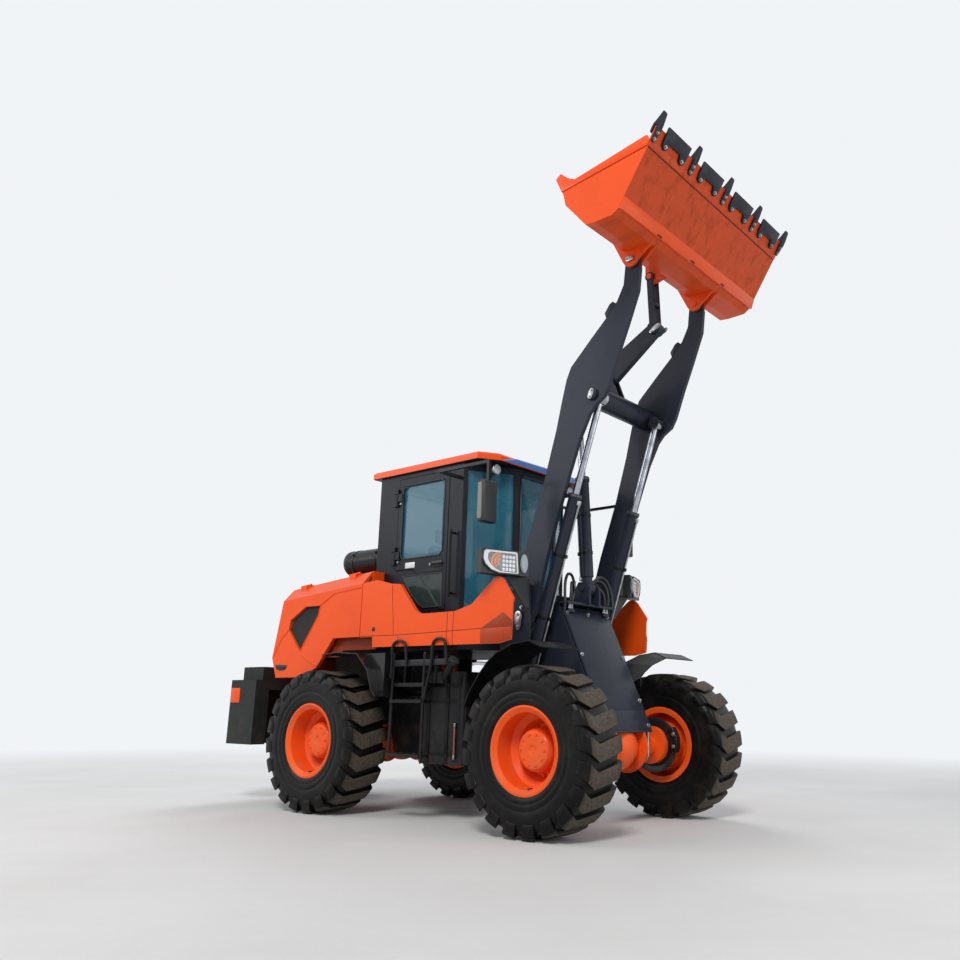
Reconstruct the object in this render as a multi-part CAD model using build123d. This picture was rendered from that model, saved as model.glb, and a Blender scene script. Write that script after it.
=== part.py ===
from build123d import *
import math
import os

# Compact articulated wheel loader, stored as it parks with its boom raised and its bucket rolled back.
# Millimetres, +X forward, +Y left, +Z up.  Everything is laid out from the articulation pivot, which
# stands at X = 0 with the ground at Z = 0, and place() shifts it to the middle of the whole length.

# ---- running gear
TYRE_OUTER = 1175        # outer diameter of a 16/70-24 tyre
TYRE_WIDTH = 410
TREAD = 60               # thickness of the tyre's crown, lugs included
WALL = 24                # thickness of its sides
RIM_SEAT = 600           # diameter on which the tyre's bead sits
RIM_FLANGE = 646
RIM_WIDTH = 366
WHEELBASE = 2390
TRACK = 1800
HUB_Z = TYRE_OUTER / 2
FRONT_X = WHEELBASE / 2
REAR_X = -WHEELBASE / 2
HUB_FACE_Y = 800         # where a rim's disc bolts to its hub
AXLE_TUBE = 190
SEAT_GAP = 0.3           # between curved faces that belong together
RUN_GAP = 0.05           # radial clearance of a shaft in its hole

# ---- steering pivot
PIVOT_LOW_Z = 450
PIVOT_HIGH_Z = 900
PIVOT_PIN = 60
LUG = 36
LUG_GAP = 6

STEER_Y = 230
STEER_Z = 700
STEER_BASE_X = -430
STEER_ROD_X = 250
STEER_BARREL = 80
STEER_ROD = 40
STEER_EYE = 40           # thickness of its eyes
STEER_EAR = 16

# ---- drive line
SHAFT = 60
SHAFT_HOLE = 150
YOKE_Y = 45              # middle of a yoke's ear from the joint's centre
YOKE_EAR = 16
CROSS_PIN = 24

# ---- rear frame
CHASSIS_HALF = 350
CHASSIS_LOW = 440
CHASSIS_HIGH = 880
PLATE = 20
TAIL_X = -2680           # rear face of the counterweight
WEIGHT_FRONT_X = -2240
WEIGHT_HALF = 930
WEIGHT_LOW = 515
WEIGHT_HIGH = 1105
WEIGHT_WALL = 200        # thickness of the counterweight behind its pocket
TOW_X = TAIL_X + 70      # towing pin
TOW_PIN = 42
TOW_JAW_HIGH = 830

# ---- body panels
PANEL_Y = 940            # outer face of the side panels
PANEL = 36
WING = 16                # thinner sheet of the side panels ahead of the cab, beside the boom
WING_X = 520
LANDING = 12             # tread plate between the side panel and the cab
LANDING_Z = 1400
LANDING_FRONT_X = 120
HOOD_LINE = ((-1900, 1940), (-780, 2030))      # top of the hood
SHOULDER_Y = 830         # where the hood's top ends and the sloping shoulder of the side doors begins
SHOULDER_DROP = 120
HINGE_Y = 841            # hinge line of the engine doors
HINGE_RISE = 8
HINGES_X = (-1750, -1060)
HINGE_LENGTH = 80
TAIL_WALL = 40
TAIL_SLOPE = ((-1900, 1940), (-2060, 1300))    # outer face of the hood's tail
CAB_HALF = 700
CAB_WALL = 50
CAB_REAR_X = -900
CAB_FRONT_X = 400
CAB_CORNERS = ((150, CAB_HALF), (CAB_FRONT_X, 260))   # where the front quarters start and end
FLOOR_Z = 1330
CAB_TOP_Z = 2915
ROOF = 62
DOOR_HINGE_X = -650
DOOR_HINGE_Y = CAB_HALF + 16
DOOR_HINGES_Z = (2130, 2660)
QUARTER_LOW = 1650       # lower edge of the angled quarter lights
SCREEN_LOW = 1700        # lower edge of the front glass
GLASS_HIGH = 2850

# ---- front frame and boom
TOWER_OUTER_Y = 572
TOWER_PLATE = 20
COVER_HALF = 315         # inner face of the tower's inner plates
ARM_Y = 517              # middle of each boom arm
ARM_PLATE = 40
FOOT_X = 700
FOOT_Z = 1570
FOOT_PIN = 60
BOOM_LENGTH = 3010       # foot pin to bucket pin
BOOM_RAISED = 69.0       # degrees above the ground, as stored
BOOM_LOWERED = -28.0
ROD_PIN_U = 1876         # lift cylinder's pin along the boom
ROD_PIN_V = -16
CROSS_U = 1900           # tube that ties the arms
CROSS_V = 155
CROSS_TUBE = 190
LIGHT_Z = 1862           # underside of the headlight pods
LIGHT_HIGH = 188
LIGHT_BRACKET_X = 798
LIFT_BASE_X = 680
LIFT_BASE_Z = 1120
LIFT_Y = 425
LIFT_BARREL = 100
LIFT_ROD = 56
LIFT_PIN = 50
TILT_BASE_X = 955
TILT_BASE_Z = 1840
TILT_BARREL = 110
TILT_ROD = 60
FORK = 215               # from the tilt rod's eye to the end of its fork
CYL_WALL = 9
CRANK_PIVOT = (1150, 3690)
CRANK_REAR = (840, 3630)
CRANK_PIN = 60
CRANK_FRONT = (1660, 4000)

# ---- bucket
BUCKET_HALF = 1090
BUCKET_PLATE = 16
BUCKET_PIN = 50
EAR = 22
LINK_PIN = (1638, 4478)
LINK_HALF = 28           # half the width of the link's straps
EYE_GAP = 6              # beside each eye


def box(x0, x1, y0, y1, z0, z1):
    """Block between two opposite corners."""
    return Pos((x0 + x1) / 2, (y0 + y1) / 2, (z0 + z1) / 2) * Box(abs(x1 - x0), abs(y1 - y0), abs(z1 - z0))


def slab_y(points, y0, y1, radius=0):
    """Side outline of (x, z) points, filled from y0 to y1."""
    corners = [Vector(x, y0, z) for x, z in points]
    if radius:
        edge = Wire(FilletPolyline(*corners, radius=radius, close=True).edges())
    else:
        edge = Wire.make_polygon(corners, close=True)
    return Solid.extrude(Face(edge), Vector(0, y1 - y0, 0))


def slab_x(points, x0, x1):
    """Front outline of (y, z) points, filled from x0 to x1."""
    edge = Wire.make_polygon([Vector(x0, y, z) for y, z in points], close=True)
    return Solid.extrude(Face(edge), Vector(x1 - x0, 0, 0))


def slab_z(points, z0, z1):
    """Top outline of (x, y) points, filled from z0 to z1."""
    edge = Wire.make_polygon([Vector(x, y, z0) for x, y in points], close=True)
    return Solid.extrude(Face(edge), Vector(0, 0, z1 - z0))


def bar(start, end, diameter):
    """Round bar between two points."""
    a = Vector(*start)
    b = Vector(*end)
    return Solid.make_cylinder(diameter / 2, (b - a).length, Plane(origin=a, z_dir=b - a))


def pin_y(x, z, y0, y1, diameter):
    """Round bar across the machine."""
    return bar((x, y0, z), (x, y1, z), diameter)


def flip(shape):
    """The same piece on the other side of the machine."""
    return mirror(shape, about=Plane.XZ)


def both(shape):
    """A right-hand piece and its left-hand twin."""
    return [shape, flip(shape)]


def on_boom(u, v):
    """Place along the boom (u) and across it (v, towards the cab) in the stored position."""
    a = math.radians(BOOM_RAISED)
    return (FOOT_X + u * math.cos(a) - v * math.sin(a), FOOT_Z + u * math.sin(a) + v * math.cos(a))


BUCKET_X, BUCKET_Z = on_boom(BOOM_LENGTH, 0)
ROD_X, ROD_Z = on_boom(ROD_PIN_U, ROD_PIN_V)


# ---------------------------------------------------------------- wheels
def tyre(x, side):
    """Tyre with a rounded crown, standing straight up on its bead."""
    r = TYRE_OUTER / 2
    w = TYRE_WIDTH / 2
    bead = RIM_SEAT / 2 + SEAT_GAP
    half = [(r - TREAD, 0), (r - TREAD, w * 0.72), (r - 130, w - WALL), (bead + 80, w * 0.95 - WALL), (bead, w * 0.82 - 30),
            (bead, w * 0.82), (bead + 28, w * 0.82), (bead + 80, w * 0.95), (r - 120, w), (r - 36, w * 0.96),
            (r, w * 0.80)]
    profile = half + [(rad, -off) for rad, off in reversed(half) if off > 0]
    wire = Wire.make_polygon([Vector(rad, 0, off) for rad, off in profile], close=True)
    ring = revolve(Face(wire), Axis.Z)
    return wheel_place(ring, x, side)


def rim(x, side):
    """Rim: barrel with two flanges, and a dished disc bolted to the hub."""
    seat = RIM_SEAT / 2
    flange = RIM_FLANGE / 2
    w = RIM_WIDTH / 2
    shell = 8
    disc = HUB_FACE_Y - TRACK / 2
    profile = [(75, disc + 0.5), (200, disc + 0.5), (232, disc + 60), (seat - shell - 34, disc + 92),
               (seat - shell - 34, -w), (seat - shell, -w - 4), (flange, -w), (flange, -w + 10),
               (seat, -w + 10), (seat, w - 10), (flange, w - 10), (flange, w),
               (seat - shell, w + 4), (seat - shell - 34, w - 20), (seat - shell - 34, disc + 116),
               (214, disc + 84), (188, disc + 16), (75, disc + 16)]
    wire = Wire.make_polygon([Vector(rad, 0, off) for rad, off in profile], close=True)
    return wheel_place(revolve(Face(wire), Axis.Z), x, side)


def wheel_place(shape, x, side):
    """Turn a piece made about +Z so that +Z points out of the machine, and put it on its axle."""
    turned = Rot(X=-90 if side > 0 else 90) * shape
    return Pos(x, side * TRACK / 2, HUB_Z) * turned


def axle(x):
    """Drive axle: bowl, tapered arms, hub flanges and their spigots."""
    body = pin_y(x, HUB_Z, -560, 560, AXLE_TUBE - 40)
    body += Pos(x, 0, HUB_Z) * Sphere(195)
    for s in (-1, 1):
        cone = Solid.make_cone(150, AXLE_TUBE / 2 - 20, 240, Plane(origin=(x, s * 120, HUB_Z), z_dir=(0, s, 0)))
        body += cone
        body += pin_y(x, HUB_Z, s * 540, s * (HUB_FACE_Y - 60), 300)
        body += pin_y(x, HUB_Z, s * (HUB_FACE_Y - 60), s * HUB_FACE_Y, 380)
        body += pin_y(x, HUB_Z, s * HUB_FACE_Y, s * (HUB_FACE_Y + 110), 150 - 2 * RUN_GAP)
        body += box(x - 90, x + 90, s * 330 - 50, s * 330 + 50, HUB_Z, HUB_Z + 130)
    nose = 250 if x < 0 else -250
    body += bar((x, 0, HUB_Z), (x + nose, 0, HUB_Z), 170)
    return body


def rear_shaft():
    """Drive shaft of the rear body, with the cross of the joint that bends at the steering pivot."""
    back = REAR_X + 250 + SEAT_GAP
    shaft = bar((back, 0, HUB_Z), (-75, 0, HUB_Z), SHAFT)
    shaft += bar((back, 0, HUB_Z), (back + 30, 0, HUB_Z), 130)
    shaft += bar((-90, 0, HUB_Z), (-60, 0, HUB_Z), 2 * YOKE_Y + YOKE_EAR)
    for s in (-1, 1):
        y0, y1 = s * YOKE_Y - YOKE_EAR / 2, s * YOKE_Y + YOKE_EAR / 2
        shaft += box(-62, 0, y0, y1, HUB_Z - 22, HUB_Z + 22) + pin_y(0, HUB_Z, y0, y1, 44)
    shaft += pin_y(0, HUB_Z, -YOKE_Y, YOKE_Y, CROSS_PIN)
    shaft += bar((0, 0, HUB_Z - YOKE_Y - 10), (0, 0, HUB_Z + YOKE_Y + 10), CROSS_PIN)
    return shaft


def front_shaft():
    """Drive shaft of the front body, with its yoke round the upright pins of the cross."""
    front = FRONT_X - 250 - SEAT_GAP
    shaft = bar((75, 0, HUB_Z), (front, 0, HUB_Z), SHAFT)
    shaft += bar((front - 30, 0, HUB_Z), (front, 0, HUB_Z), 130)
    shaft += bar((60, 0, HUB_Z), (90, 0, HUB_Z), 2 * YOKE_Y + YOKE_EAR)
    for s in (-1, 1):
        z0, z1 = HUB_Z + s * YOKE_Y - YOKE_EAR / 2, HUB_Z + s * YOKE_Y + YOKE_EAR / 2
        ear = box(0, 62, -22, 22, z0, z1) + bar((0, 0, z0), (0, 0, z1), 44)
        shaft += ear - bar((0, 0, z0 - 5), (0, 0, z1 + 5), CROSS_PIN + 2 * RUN_GAP)
    return shaft


# ---------------------------------------------------------------- rear body
def rear_frame():
    """Two side plates with cross members, and the rear half of the steering pivot."""
    tail = WEIGHT_FRONT_X + 0.5
    side = [(tail, CHASSIS_LOW + 120), (-1500, CHASSIS_LOW + 120), (-1400, 735), (-990, 735),
            (-900, CHASSIS_LOW), (-420, CHASSIS_LOW), (-420, CHASSIS_HIGH + 120), (-1000, CHASSIS_HIGH + 120),
            (-1700, CHASSIS_HIGH), (tail, CHASSIS_HIGH)]
    frame = slab_y(side, CHASSIS_HALF - PLATE, CHASSIS_HALF)
    frame += flip(frame)
    for x0, z0, z1 in ((-2230, 600, 860), (-1700, 600, 700), (-900, 700, 860), (-520, 480, 980)):
        frame += box(x0, x0 + 40, -CHASSIS_HALF, CHASSIS_HALF, z0, z1)
    for z in (PIVOT_LOW_Z, PIVOT_HIGH_Z):
        for dz in (-(LUG + LUG_GAP), LUG + LUG_GAP):
            lug = slab_z([(-520, -260), (-520, 260), (-60, 90), (60, 60), (60, -60), (-60, -90)],
                         z + dz - LUG / 2, z + dz + LUG / 2)
            frame += lug - bar((0, 0, z - 100), (0, 0, z + 100), PIVOT_PIN)
    frame += box(-560, -500, -260, 260, PIVOT_LOW_Z - 60, PIVOT_HIGH_Z + 60)
    frame -= bar((-570, 0, HUB_Z), (-470, 0, HUB_Z), SHAFT_HOLE)
    for s in (-1, 1):
        for z in steer_ears():
            ear = box(-510, STEER_BASE_X, s * STEER_Y - 35, s * STEER_Y + 35, z - STEER_EAR / 2, z + STEER_EAR / 2)
            ear += bar((STEER_BASE_X, s * STEER_Y, z - STEER_EAR / 2), (STEER_BASE_X, s * STEER_Y, z + STEER_EAR / 2), 70)
            frame += ear - bar((STEER_BASE_X, s * STEER_Y, z - 50), (STEER_BASE_X, s * STEER_Y, z + 50), 40)
    for s in (-1, 1):
        frame += box(REAR_X - 90, REAR_X + 90, s * 330 - 50, s * 330 + 50, HUB_Z + 130, HUB_Z + 170)
        frame += box(-1000, -820, s * 350, s * 520, 860, 900)
        frame += box(-1000, -820, s * 500, s * 520, 900, FLOOR_Z - SEAT_GAP)
        frame += box(-470, -300, s * 340, s * 520, 960, 1000)
        frame += box(-420, -300, s * 500, s * 520, 1000, FLOOR_Z - SEAT_GAP)
    return frame


def steer_ears():
    """Heights of the two ears that hold a steering cylinder's eye between them."""
    off = STEER_EYE / 2 + EYE_GAP + STEER_EAR / 2
    return (STEER_Z - off, STEER_Z + off)


def pivot_pins():
    """Upper and lower pins of the steering pivot, and the pins of the steering cylinders' bases."""
    pins = [bar((0, 0, z - 64), (0, 0, z + 64), PIVOT_PIN - 2 * RUN_GAP) for z in (PIVOT_LOW_Z, PIVOT_HIGH_Z)]
    for s in (-1, 1):
        pins.append(bar((STEER_BASE_X, s * STEER_Y, STEER_Z - 52), (STEER_BASE_X, s * STEER_Y, STEER_Z + 52),
                        40 - 2 * RUN_GAP))
    return pins


def counterweight():
    """Cast block behind the frame, stepped on top, with a slot and a pin hole for towing."""
    block = box(TAIL_X, WEIGHT_FRONT_X, -WEIGHT_HALF, WEIGHT_HALF, WEIGHT_LOW, WEIGHT_HIGH)
    block = chamfer(block.edges().filter_by(Axis.Z).sort_by(Axis.X)[:2], 40)
    block += box(TAIL_X + 60, WEIGHT_FRONT_X - 60, -820, 820, WEIGHT_HIGH, WEIGHT_HIGH + 125)
    block -= box(TAIL_X + WEIGHT_WALL, WEIGHT_FRONT_X + 5, -WEIGHT_HALF + 150, WEIGHT_HALF - 150,
                 WEIGHT_LOW - 5, WEIGHT_HIGH - 90)
    for s in (-1, 1):
        y0, y1 = s * (CHASSIS_HALF - PLATE - 40), s * (CHASSIS_HALF + 40)
        block += box(TAIL_X + WEIGHT_WALL - 5, WEIGHT_FRONT_X, y0, y1, WEIGHT_LOW, WEIGHT_HIGH - 80)
    block -= box(TAIL_X - 5, TOW_X + 110, -110, 110, 640, 740)
    block -= box(TAIL_X - 5, TOW_X + 70, -70, 70, TOW_JAW_HIGH, WEIGHT_HIGH + 130)
    block -= bar((TOW_X, 0, WEIGHT_LOW - 5), (TOW_X, 0, TOW_JAW_HIGH + 5), TOW_PIN)
    return block


def hood_top(x):
    """Height of the hood's top, which rises gently towards the cab."""
    (x0, z0), (x1, z1) = HOOD_LINE
    return z0 + (z1 - z0) * (x - x0) / (x1 - x0)


def hood():
    """Fixed top and tail of the engine cover; its sides are doors."""
    x0, x1 = HOOD_LINE[0][0], HOOD_LINE[1][0]
    top = [*HOOD_LINE, (x1, hood_top(x1) - PANEL), (x0, hood_top(x0) - PANEL)]
    cover = slab_y(top, -SHOULDER_Y, SHOULDER_Y)
    rear = [*TAIL_SLOPE, (-1990, 1120), (-1950, 1120), tail_line(1300, TAIL_WALL), tail_line(1920, TAIL_WALL)]
    cover += slab_y(rear, -PANEL_Y + PANEL + 6, PANEL_Y - PANEL - 6)
    cover -= slab_x([(-560, 1340), (560, 1340), (600, 1780), (-600, 1780)], -2100, -1880)
    cover += box(-816, -780, -SHOULDER_Y, SHOULDER_Y, 1480, 1995)
    cover -= box(CAB_REAR_X - 6, 0, -CAB_HALF - 6, CAB_HALF + 6, 1000, 2500)
    cover += box(-1990, -1954, -600, 600, CHASSIS_HIGH + SEAT_GAP, 1125)
    shoulder_z = hood_top(x0) - SHOULDER_DROP - 12
    for s in (-1, 1):
        cover -= box(-2100, -1850, s * (SHOULDER_Y - 1), s * PANEL_Y, shoulder_z, 2000)
    for pin in hood_hinges():
        cover += pin + flip(pin)
    return cover


def tail_line(z, depth):
    """Place on the sloping tail of the hood at height z, so deep inside its outer face."""
    (x0, z0), (x1, z1) = TAIL_SLOPE
    return (x0 + (x1 - x0) * (z - z0) / (z1 - z0) + depth, z)


def rear_grille():
    """Louvred panel behind the opening in the hood's tail."""
    low, high, half = 1306, 1820, 640
    front, back = TAIL_WALL + SEAT_GAP, TAIL_WALL + 15
    panel = slab_y([tail_line(low, front), tail_line(high, front), tail_line(high, back), tail_line(low, back)],
                   -half, half)
    step = 42
    for k in range(10):
        z = 1354 + k * step
        panel -= slab_y([tail_line(z, 20), tail_line(z + 18, 20), tail_line(z + 18, 70), tail_line(z, 70)],
                        -530, 530)
    return panel


def rear_lamp():
    """Right-hand rear lamp on the hood's tail."""
    return slab_y([tail_line(1330, -SEAT_GAP), tail_line(1440, -SEAT_GAP), tail_line(1436, -22),
                   tail_line(1334, -22)], -880, -770)


def engine_door():
    """Right-hand engine cover side with its sloping shoulder, hinged along its top edge."""
    x0, x1 = -1906, -790
    low0, low1 = hood_top(x0) - SHOULDER_DROP, hood_top(x1) - SHOULDER_DROP
    outline = [(x0, low0), (x1, low1), (x1, 1450), (-1140, 1450), (-1345, 1200), (-1560, 1120), (-1930, 1120),
               (-2010, 1300)]
    y_out = -PANEL_Y
    door = slab_y(outline, y_out, y_out + PANEL)
    grille = [(-1560, 1755), (-1345, 1752), (-1370, 1660), (-1600, 1345), (-1790, 1548), (-1770, 1640)]
    door -= slab_y(grille, y_out - 5, y_out + PANEL + 5)
    top0 = low0 + SHOULDER_DROP - 4
    edge = -SHOULDER_Y - 6
    section = [Vector(x0, y, z) for y, z in ((y_out, low0), (edge, top0), (edge, top0 - PANEL), (y_out + PANEL, low0))]
    door += Solid.extrude(Face(Wire.make_polygon(section, close=True)), Vector(x1 - x0, 0, low1 - low0))
    end = [Vector(x0, y, z) for y, z in ((y_out, low0), (edge, top0), (edge, low0))]
    door += Solid.extrude(Face(Wire.make_polygon(end, close=True)), Vector(30, 0, 2))
    for x in HINGES_X:
        z = hood_top(x)
        leaf = box(x, x + HINGE_LENGTH, -HINGE_Y - 29, -HINGE_Y, z - 45, z + HINGE_RISE)
        leaf += hinge_knuckle(x, x + HINGE_LENGTH, 10)
        door += leaf - hinge_knuckle(x - 5, x + HINGE_LENGTH + 5, 5 + RUN_GAP)
    return door


def hinge_knuckle(x0, x1, radius):
    """Round bar along the right-hand engine door's hinge line."""
    return bar((x0, -HINGE_Y, hood_top(x0) + HINGE_RISE), (x1, -HINGE_Y, hood_top(x1) + HINGE_RISE), 2 * radius)


def hood_hinges():
    """Right-hand hinge pins on the hood, each held by a knuckle at both ends."""
    pins = []
    for x in HINGES_X:
        pin = hinge_knuckle(x - 34, x + HINGE_LENGTH + 34, 5)
        for start in (x - 34, x + HINGE_LENGTH + 4):
            pin += hinge_knuckle(start, start + 30, 10)
            pin += box(start, start + 30, -HINGE_Y, -HINGE_Y + 41, hood_top(start) - 1, hood_top(start) + HINGE_RISE)
        pins.append(pin)
    return pins


def side_grille():
    """Perforated panel behind the opening in the engine door."""
    outline = [(-1580, 1775), (-1320, 1772), (-1350, 1650), (-1600, 1310), (-1815, 1540), (-1790, 1650)]
    y_out = -PANEL_Y + PANEL
    return slab_y(outline, y_out, y_out + 12)


def side_panel():
    """Right-hand body side below the cab, rising forward to its tip, with the landing inside it."""
    outline = [(-780, 1910), (-600, 1925), (-500, 1900), (-423, 1880), (-312, 1870), (-110, 1640), (-50, 1607),
               (245, 1607), (343, 1607), (WING_X, 1652), (750, 1838), (797, 1850), (845, 1822), (950, 1672),
               (938, 1632), (930, 1365), (815, 1342), (-614, 1356), (-622, 1444), (-780, 1444)]
    y_out = -PANEL_Y
    panel = slab_y(outline, y_out, y_out + PANEL)
    panel -= box(WING_X, FRONT_X, y_out + WING, y_out + PANEL + 5, 1300, 1900)
    panel += box(-600, LANDING_FRONT_X, y_out + PANEL, -CAB_HALF - SEAT_GAP, LANDING_Z, LANDING_Z + LANDING)
    return panel


def cab_frame():
    """Hollow cab: floor, pillars, rear wall, sills and header rails in one welded frame."""
    (ax, ay), (bx, by) = CAB_CORNERS
    plan = [(CAB_REAR_X, -ay), (ax, -ay), (bx, -by), (bx, by), (ax, ay), (CAB_REAR_X, ay)]
    inner = [(CAB_REAR_X + CAB_WALL, -CAB_HALF + CAB_WALL), (122, -CAB_HALF + CAB_WALL), (350, -240), (350, 240),
             (122, CAB_HALF - CAB_WALL), (CAB_REAR_X + CAB_WALL, CAB_HALF - CAB_WALL)]
    cab = slab_z(plan, FLOOR_Z, CAB_TOP_Z) - slab_z(inner, FLOOR_Z + 40, CAB_TOP_Z - 60)
    cab -= slab_z([(x * 0.9, y * 0.86) for x, y in inner], CAB_TOP_Z - 70, CAB_TOP_Z + 5)
    door = [(-650, 2870), (-10, 2870), (-10, 1660), (-90, 1660), (-190, 1790), (-330, 1960), (-440, 2030),
            (-650, 2030)]
    for s in (-1, 1):
        y0 = min(s * (CAB_HALF - CAB_WALL - 5), s * (CAB_HALF + 5))
        cab -= slab_y(door, y0, y0 + CAB_WALL + 10)
    cab -= slab_x([(-560, 2120), (560, 2120), (560, 2820), (-560, 2820)], CAB_REAR_X - 5, CAB_REAR_X + CAB_WALL + 5)
    cab -= box(CAB_FRONT_X - 60, CAB_FRONT_X + 10, -230, 230, SCREEN_LOW, GLASS_HIGH)
    for s in (-1, 1):
        cab -= quarter(40, 460, -5, 60, s, QUARTER_LOW, GLASS_HIGH)
    for z in DOOR_HINGES_Z:
        hinge = door_knuckle(z - 44, z + 114, 6)
        for start in (z - 44, z + 74):
            hinge += door_knuckle(start, start + 40, 12)
            hinge += box(DOOR_HINGE_X - 50, DOOR_HINGE_X, -DOOR_HINGE_Y - 5, -CAB_HALF + 5, start, start + 40)
        cab += hinge + flip(hinge)
    return cab


def quarter(s0, s1, d0, d1, side, z0, z1):
    """Block along a slanted front side of the cab: from s0 to s1 along it and d0 to d1 deep."""
    (ax, ay), (bx, by) = CAB_CORNERS
    way = Vector(bx - ax, by - ay).normalized()
    inward = Vector(way.Y, -way.X)
    start = Vector(ax, ay)
    points = [start + way * s + inward * d for s, d in ((s0, d0), (s1, d0), (s1, d1), (s0, d1))]
    return slab_z([(p.X, side * p.Y) for p in points], z0, z1)


def cab_windows():
    """Front glass, its two angled quarter lights, and the rear window."""
    gap = SEAT_GAP
    panes = [box(CAB_FRONT_X - 24, CAB_FRONT_X - 16, gap - 230, 230 - gap, SCREEN_LOW + gap, GLASS_HIGH - gap)]
    for s in (-1, 1):
        panes.append(quarter(40 + gap, 460 - gap, 16, 24, s, QUARTER_LOW + gap, GLASS_HIGH - gap))
    panes.append(box(CAB_REAR_X + 20, CAB_REAR_X + 28, gap - 560, 560 - gap, 2120 + gap, 2820 - gap))
    return panes


def roof():
    """Roof cap with a raised middle."""
    plan = [(-985, -730), (330, -730), (440, -560), (440, 560), (330, 730), (-985, 730)]
    cap = slab_z(plan, CAB_TOP_Z, CAB_TOP_Z + ROOF)
    cap = chamfer(cap.faces().sort_by(Axis.Z)[-1].edges(), 18)
    return cap - box(CAB_REAR_X + 40, 120, -620, 620, CAB_TOP_Z - 5, CAB_TOP_Z + ROOF - 14)


def sun_visor():
    """Tinted strip in front of the roof."""
    x = 440 + SEAT_GAP
    return slab_z([(x, -520), (540, -470), (560, 0), (540, 470), (x, 520)], CAB_TOP_Z + 6, CAB_TOP_Z + 14)


def work_lights():
    """Right-hand work lights under the roof, one looking forward and one back."""
    lights = []
    for x, y, way in ((300, -520, 1), (-950, -480, -1)):
        lamp = bar((x, y, CAB_TOP_Z - 62), (x + way * 62, y, CAB_TOP_Z - 62), 96)
        lamp += box(x + way * 8, x + way * 38, y - 14, y + 14, CAB_TOP_Z - 60, CAB_TOP_Z - SEAT_GAP)
        lights.append(lamp)
    return lights


def grab_bar():
    """Right-hand grab bar on the pillar in front of the door."""
    y = -CAB_HALF - 52
    rail = bar((70, y, 1760), (70, y, 2330), 24)
    for z in (1790, 2300):
        rail += bar((70, y, z), (70, -CAB_HALF - SEAT_GAP, z), 20)
    return rail


def cab_door():
    """Right-hand door: frame with an upper and a lower window."""
    outline = [(-644, 2864), (-16, 2864), (-16, 1668), (-86, 1668), (-186, 1798), (-326, 1968), (-436, 2038),
               (-644, 2038)]
    y0 = -CAB_HALF - 2
    door = slab_y(outline, y0, y0 + 40)
    upper = [(-590, 2800), (-70, 2800), (-70, 2130), (-590, 2130)]
    lower = [(-300, 2010), (-70, 2010), (-70, 1730), (-90, 1730), (-160, 1850), (-280, 1990)]
    for hole in (upper, lower):
        door -= slab_y(hole, y0 - 5, y0 + 45)
    for z in DOOR_HINGES_Z:
        leaf = box(DOOR_HINGE_X, DOOR_HINGE_X + 60, -DOOR_HINGE_Y - 5, y0, z, z + 70)
        leaf += door_knuckle(z, z + 70, 12)
        door += leaf - door_knuckle(z - 5, z + 75, 6 + RUN_GAP)
    return door


def door_knuckle(z0, z1, radius):
    """Upright round bar on the right-hand cab door's hinge line."""
    return bar((DOOR_HINGE_X, -DOOR_HINGE_Y, z0), (DOOR_HINGE_X, -DOOR_HINGE_Y, z1), 2 * radius)


def door_glass():
    y0 = -CAB_HALF + 14
    gap = SEAT_GAP
    upper = [(-590 + gap, 2800 - gap), (-70 - gap, 2800 - gap), (-70 - gap, 2130 + gap), (-590 + gap, 2130 + gap)]
    lower = [(-299, 2010 - gap), (-70 - gap, 2010 - gap), (-70 - gap, 1730 + gap), (-89.7, 1730 + gap),
             (-159.5, 1850.5), (-279.5, 1990)]
    return [slab_y(pane, y0, y0 + 6) for pane in (upper, lower)]


def seat():
    """Driver's seat on its pedestal."""
    chair = slab_y([(-660, 1720), (-660, 1850), (-180, 1850), (-180, 1720)], -230, 230, 30)
    chair += slab_y([(-660, 1830), (-550, 1830), (-640, 2420), (-740, 2420)], -220, 220, 30)
    chair += box(-560, -260, -160, 160, FLOOR_Z + 40, 1730)
    return chair


def steering_column():
    """Steering wheel on its column, standing on the cab floor."""
    column = bar((164, 0, FLOOR_Z + 56), (-60, 0, 2080), 70)
    column += box(100, 230, -70, 70, FLOOR_Z + 40, FLOOR_Z + 70)
    wheel = Solid.make_torus(190, 14, Plane(origin=(-60, 0, 2080), z_dir=(-0.32, 0, 1)))
    hub = Solid.make_cylinder(40, 20, Plane(origin=(-56, 0, 2068), z_dir=(-0.32, 0, 1)))
    column += wheel + hub
    for k in range(3):
        a = math.radians(90 + 120 * k)
        tip = (-60 + 180 * math.cos(a) * 0.952, 180 * math.sin(a), 2080 + 180 * math.cos(a) * 0.305)
        column += bar((-60, 0, 2080), tip, 20)
    return column


def rear_fender():
    """Right-hand mudguard over the rear wheel, and the tool box in front of it."""
    path = [(-1100, 1302), (-900, 1318), (-640, 1300), (-500, 1170), (-430, 1000), (-380, 955)]
    guard = slab_y(thicken(path, 8), -1080, -680)
    guard += slab_y([(-640, 1300), (-375, 1300), (-375, 950), (-430, 1000), (-500, 1170)], -1000, -700)
    guard += box(-420, -375, -700, -520.3, 960, 990)
    return guard


def tank():
    """Right-hand tank under the cab, with its filler neck."""
    body = box(-220, 270, -720, -490, 430, 1150)
    body = fillet(body.edges().filter_by(Axis.Z), 30)
    body += box(-300 + SEAT_GAP, -200, -520, -500, 1000, 1040)
    body += bar((20, -640, 1130), (80, -700, 1240), 60)
    body += bar((76, -696, 1232), (88, -708, 1254), 90)
    return body


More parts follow.
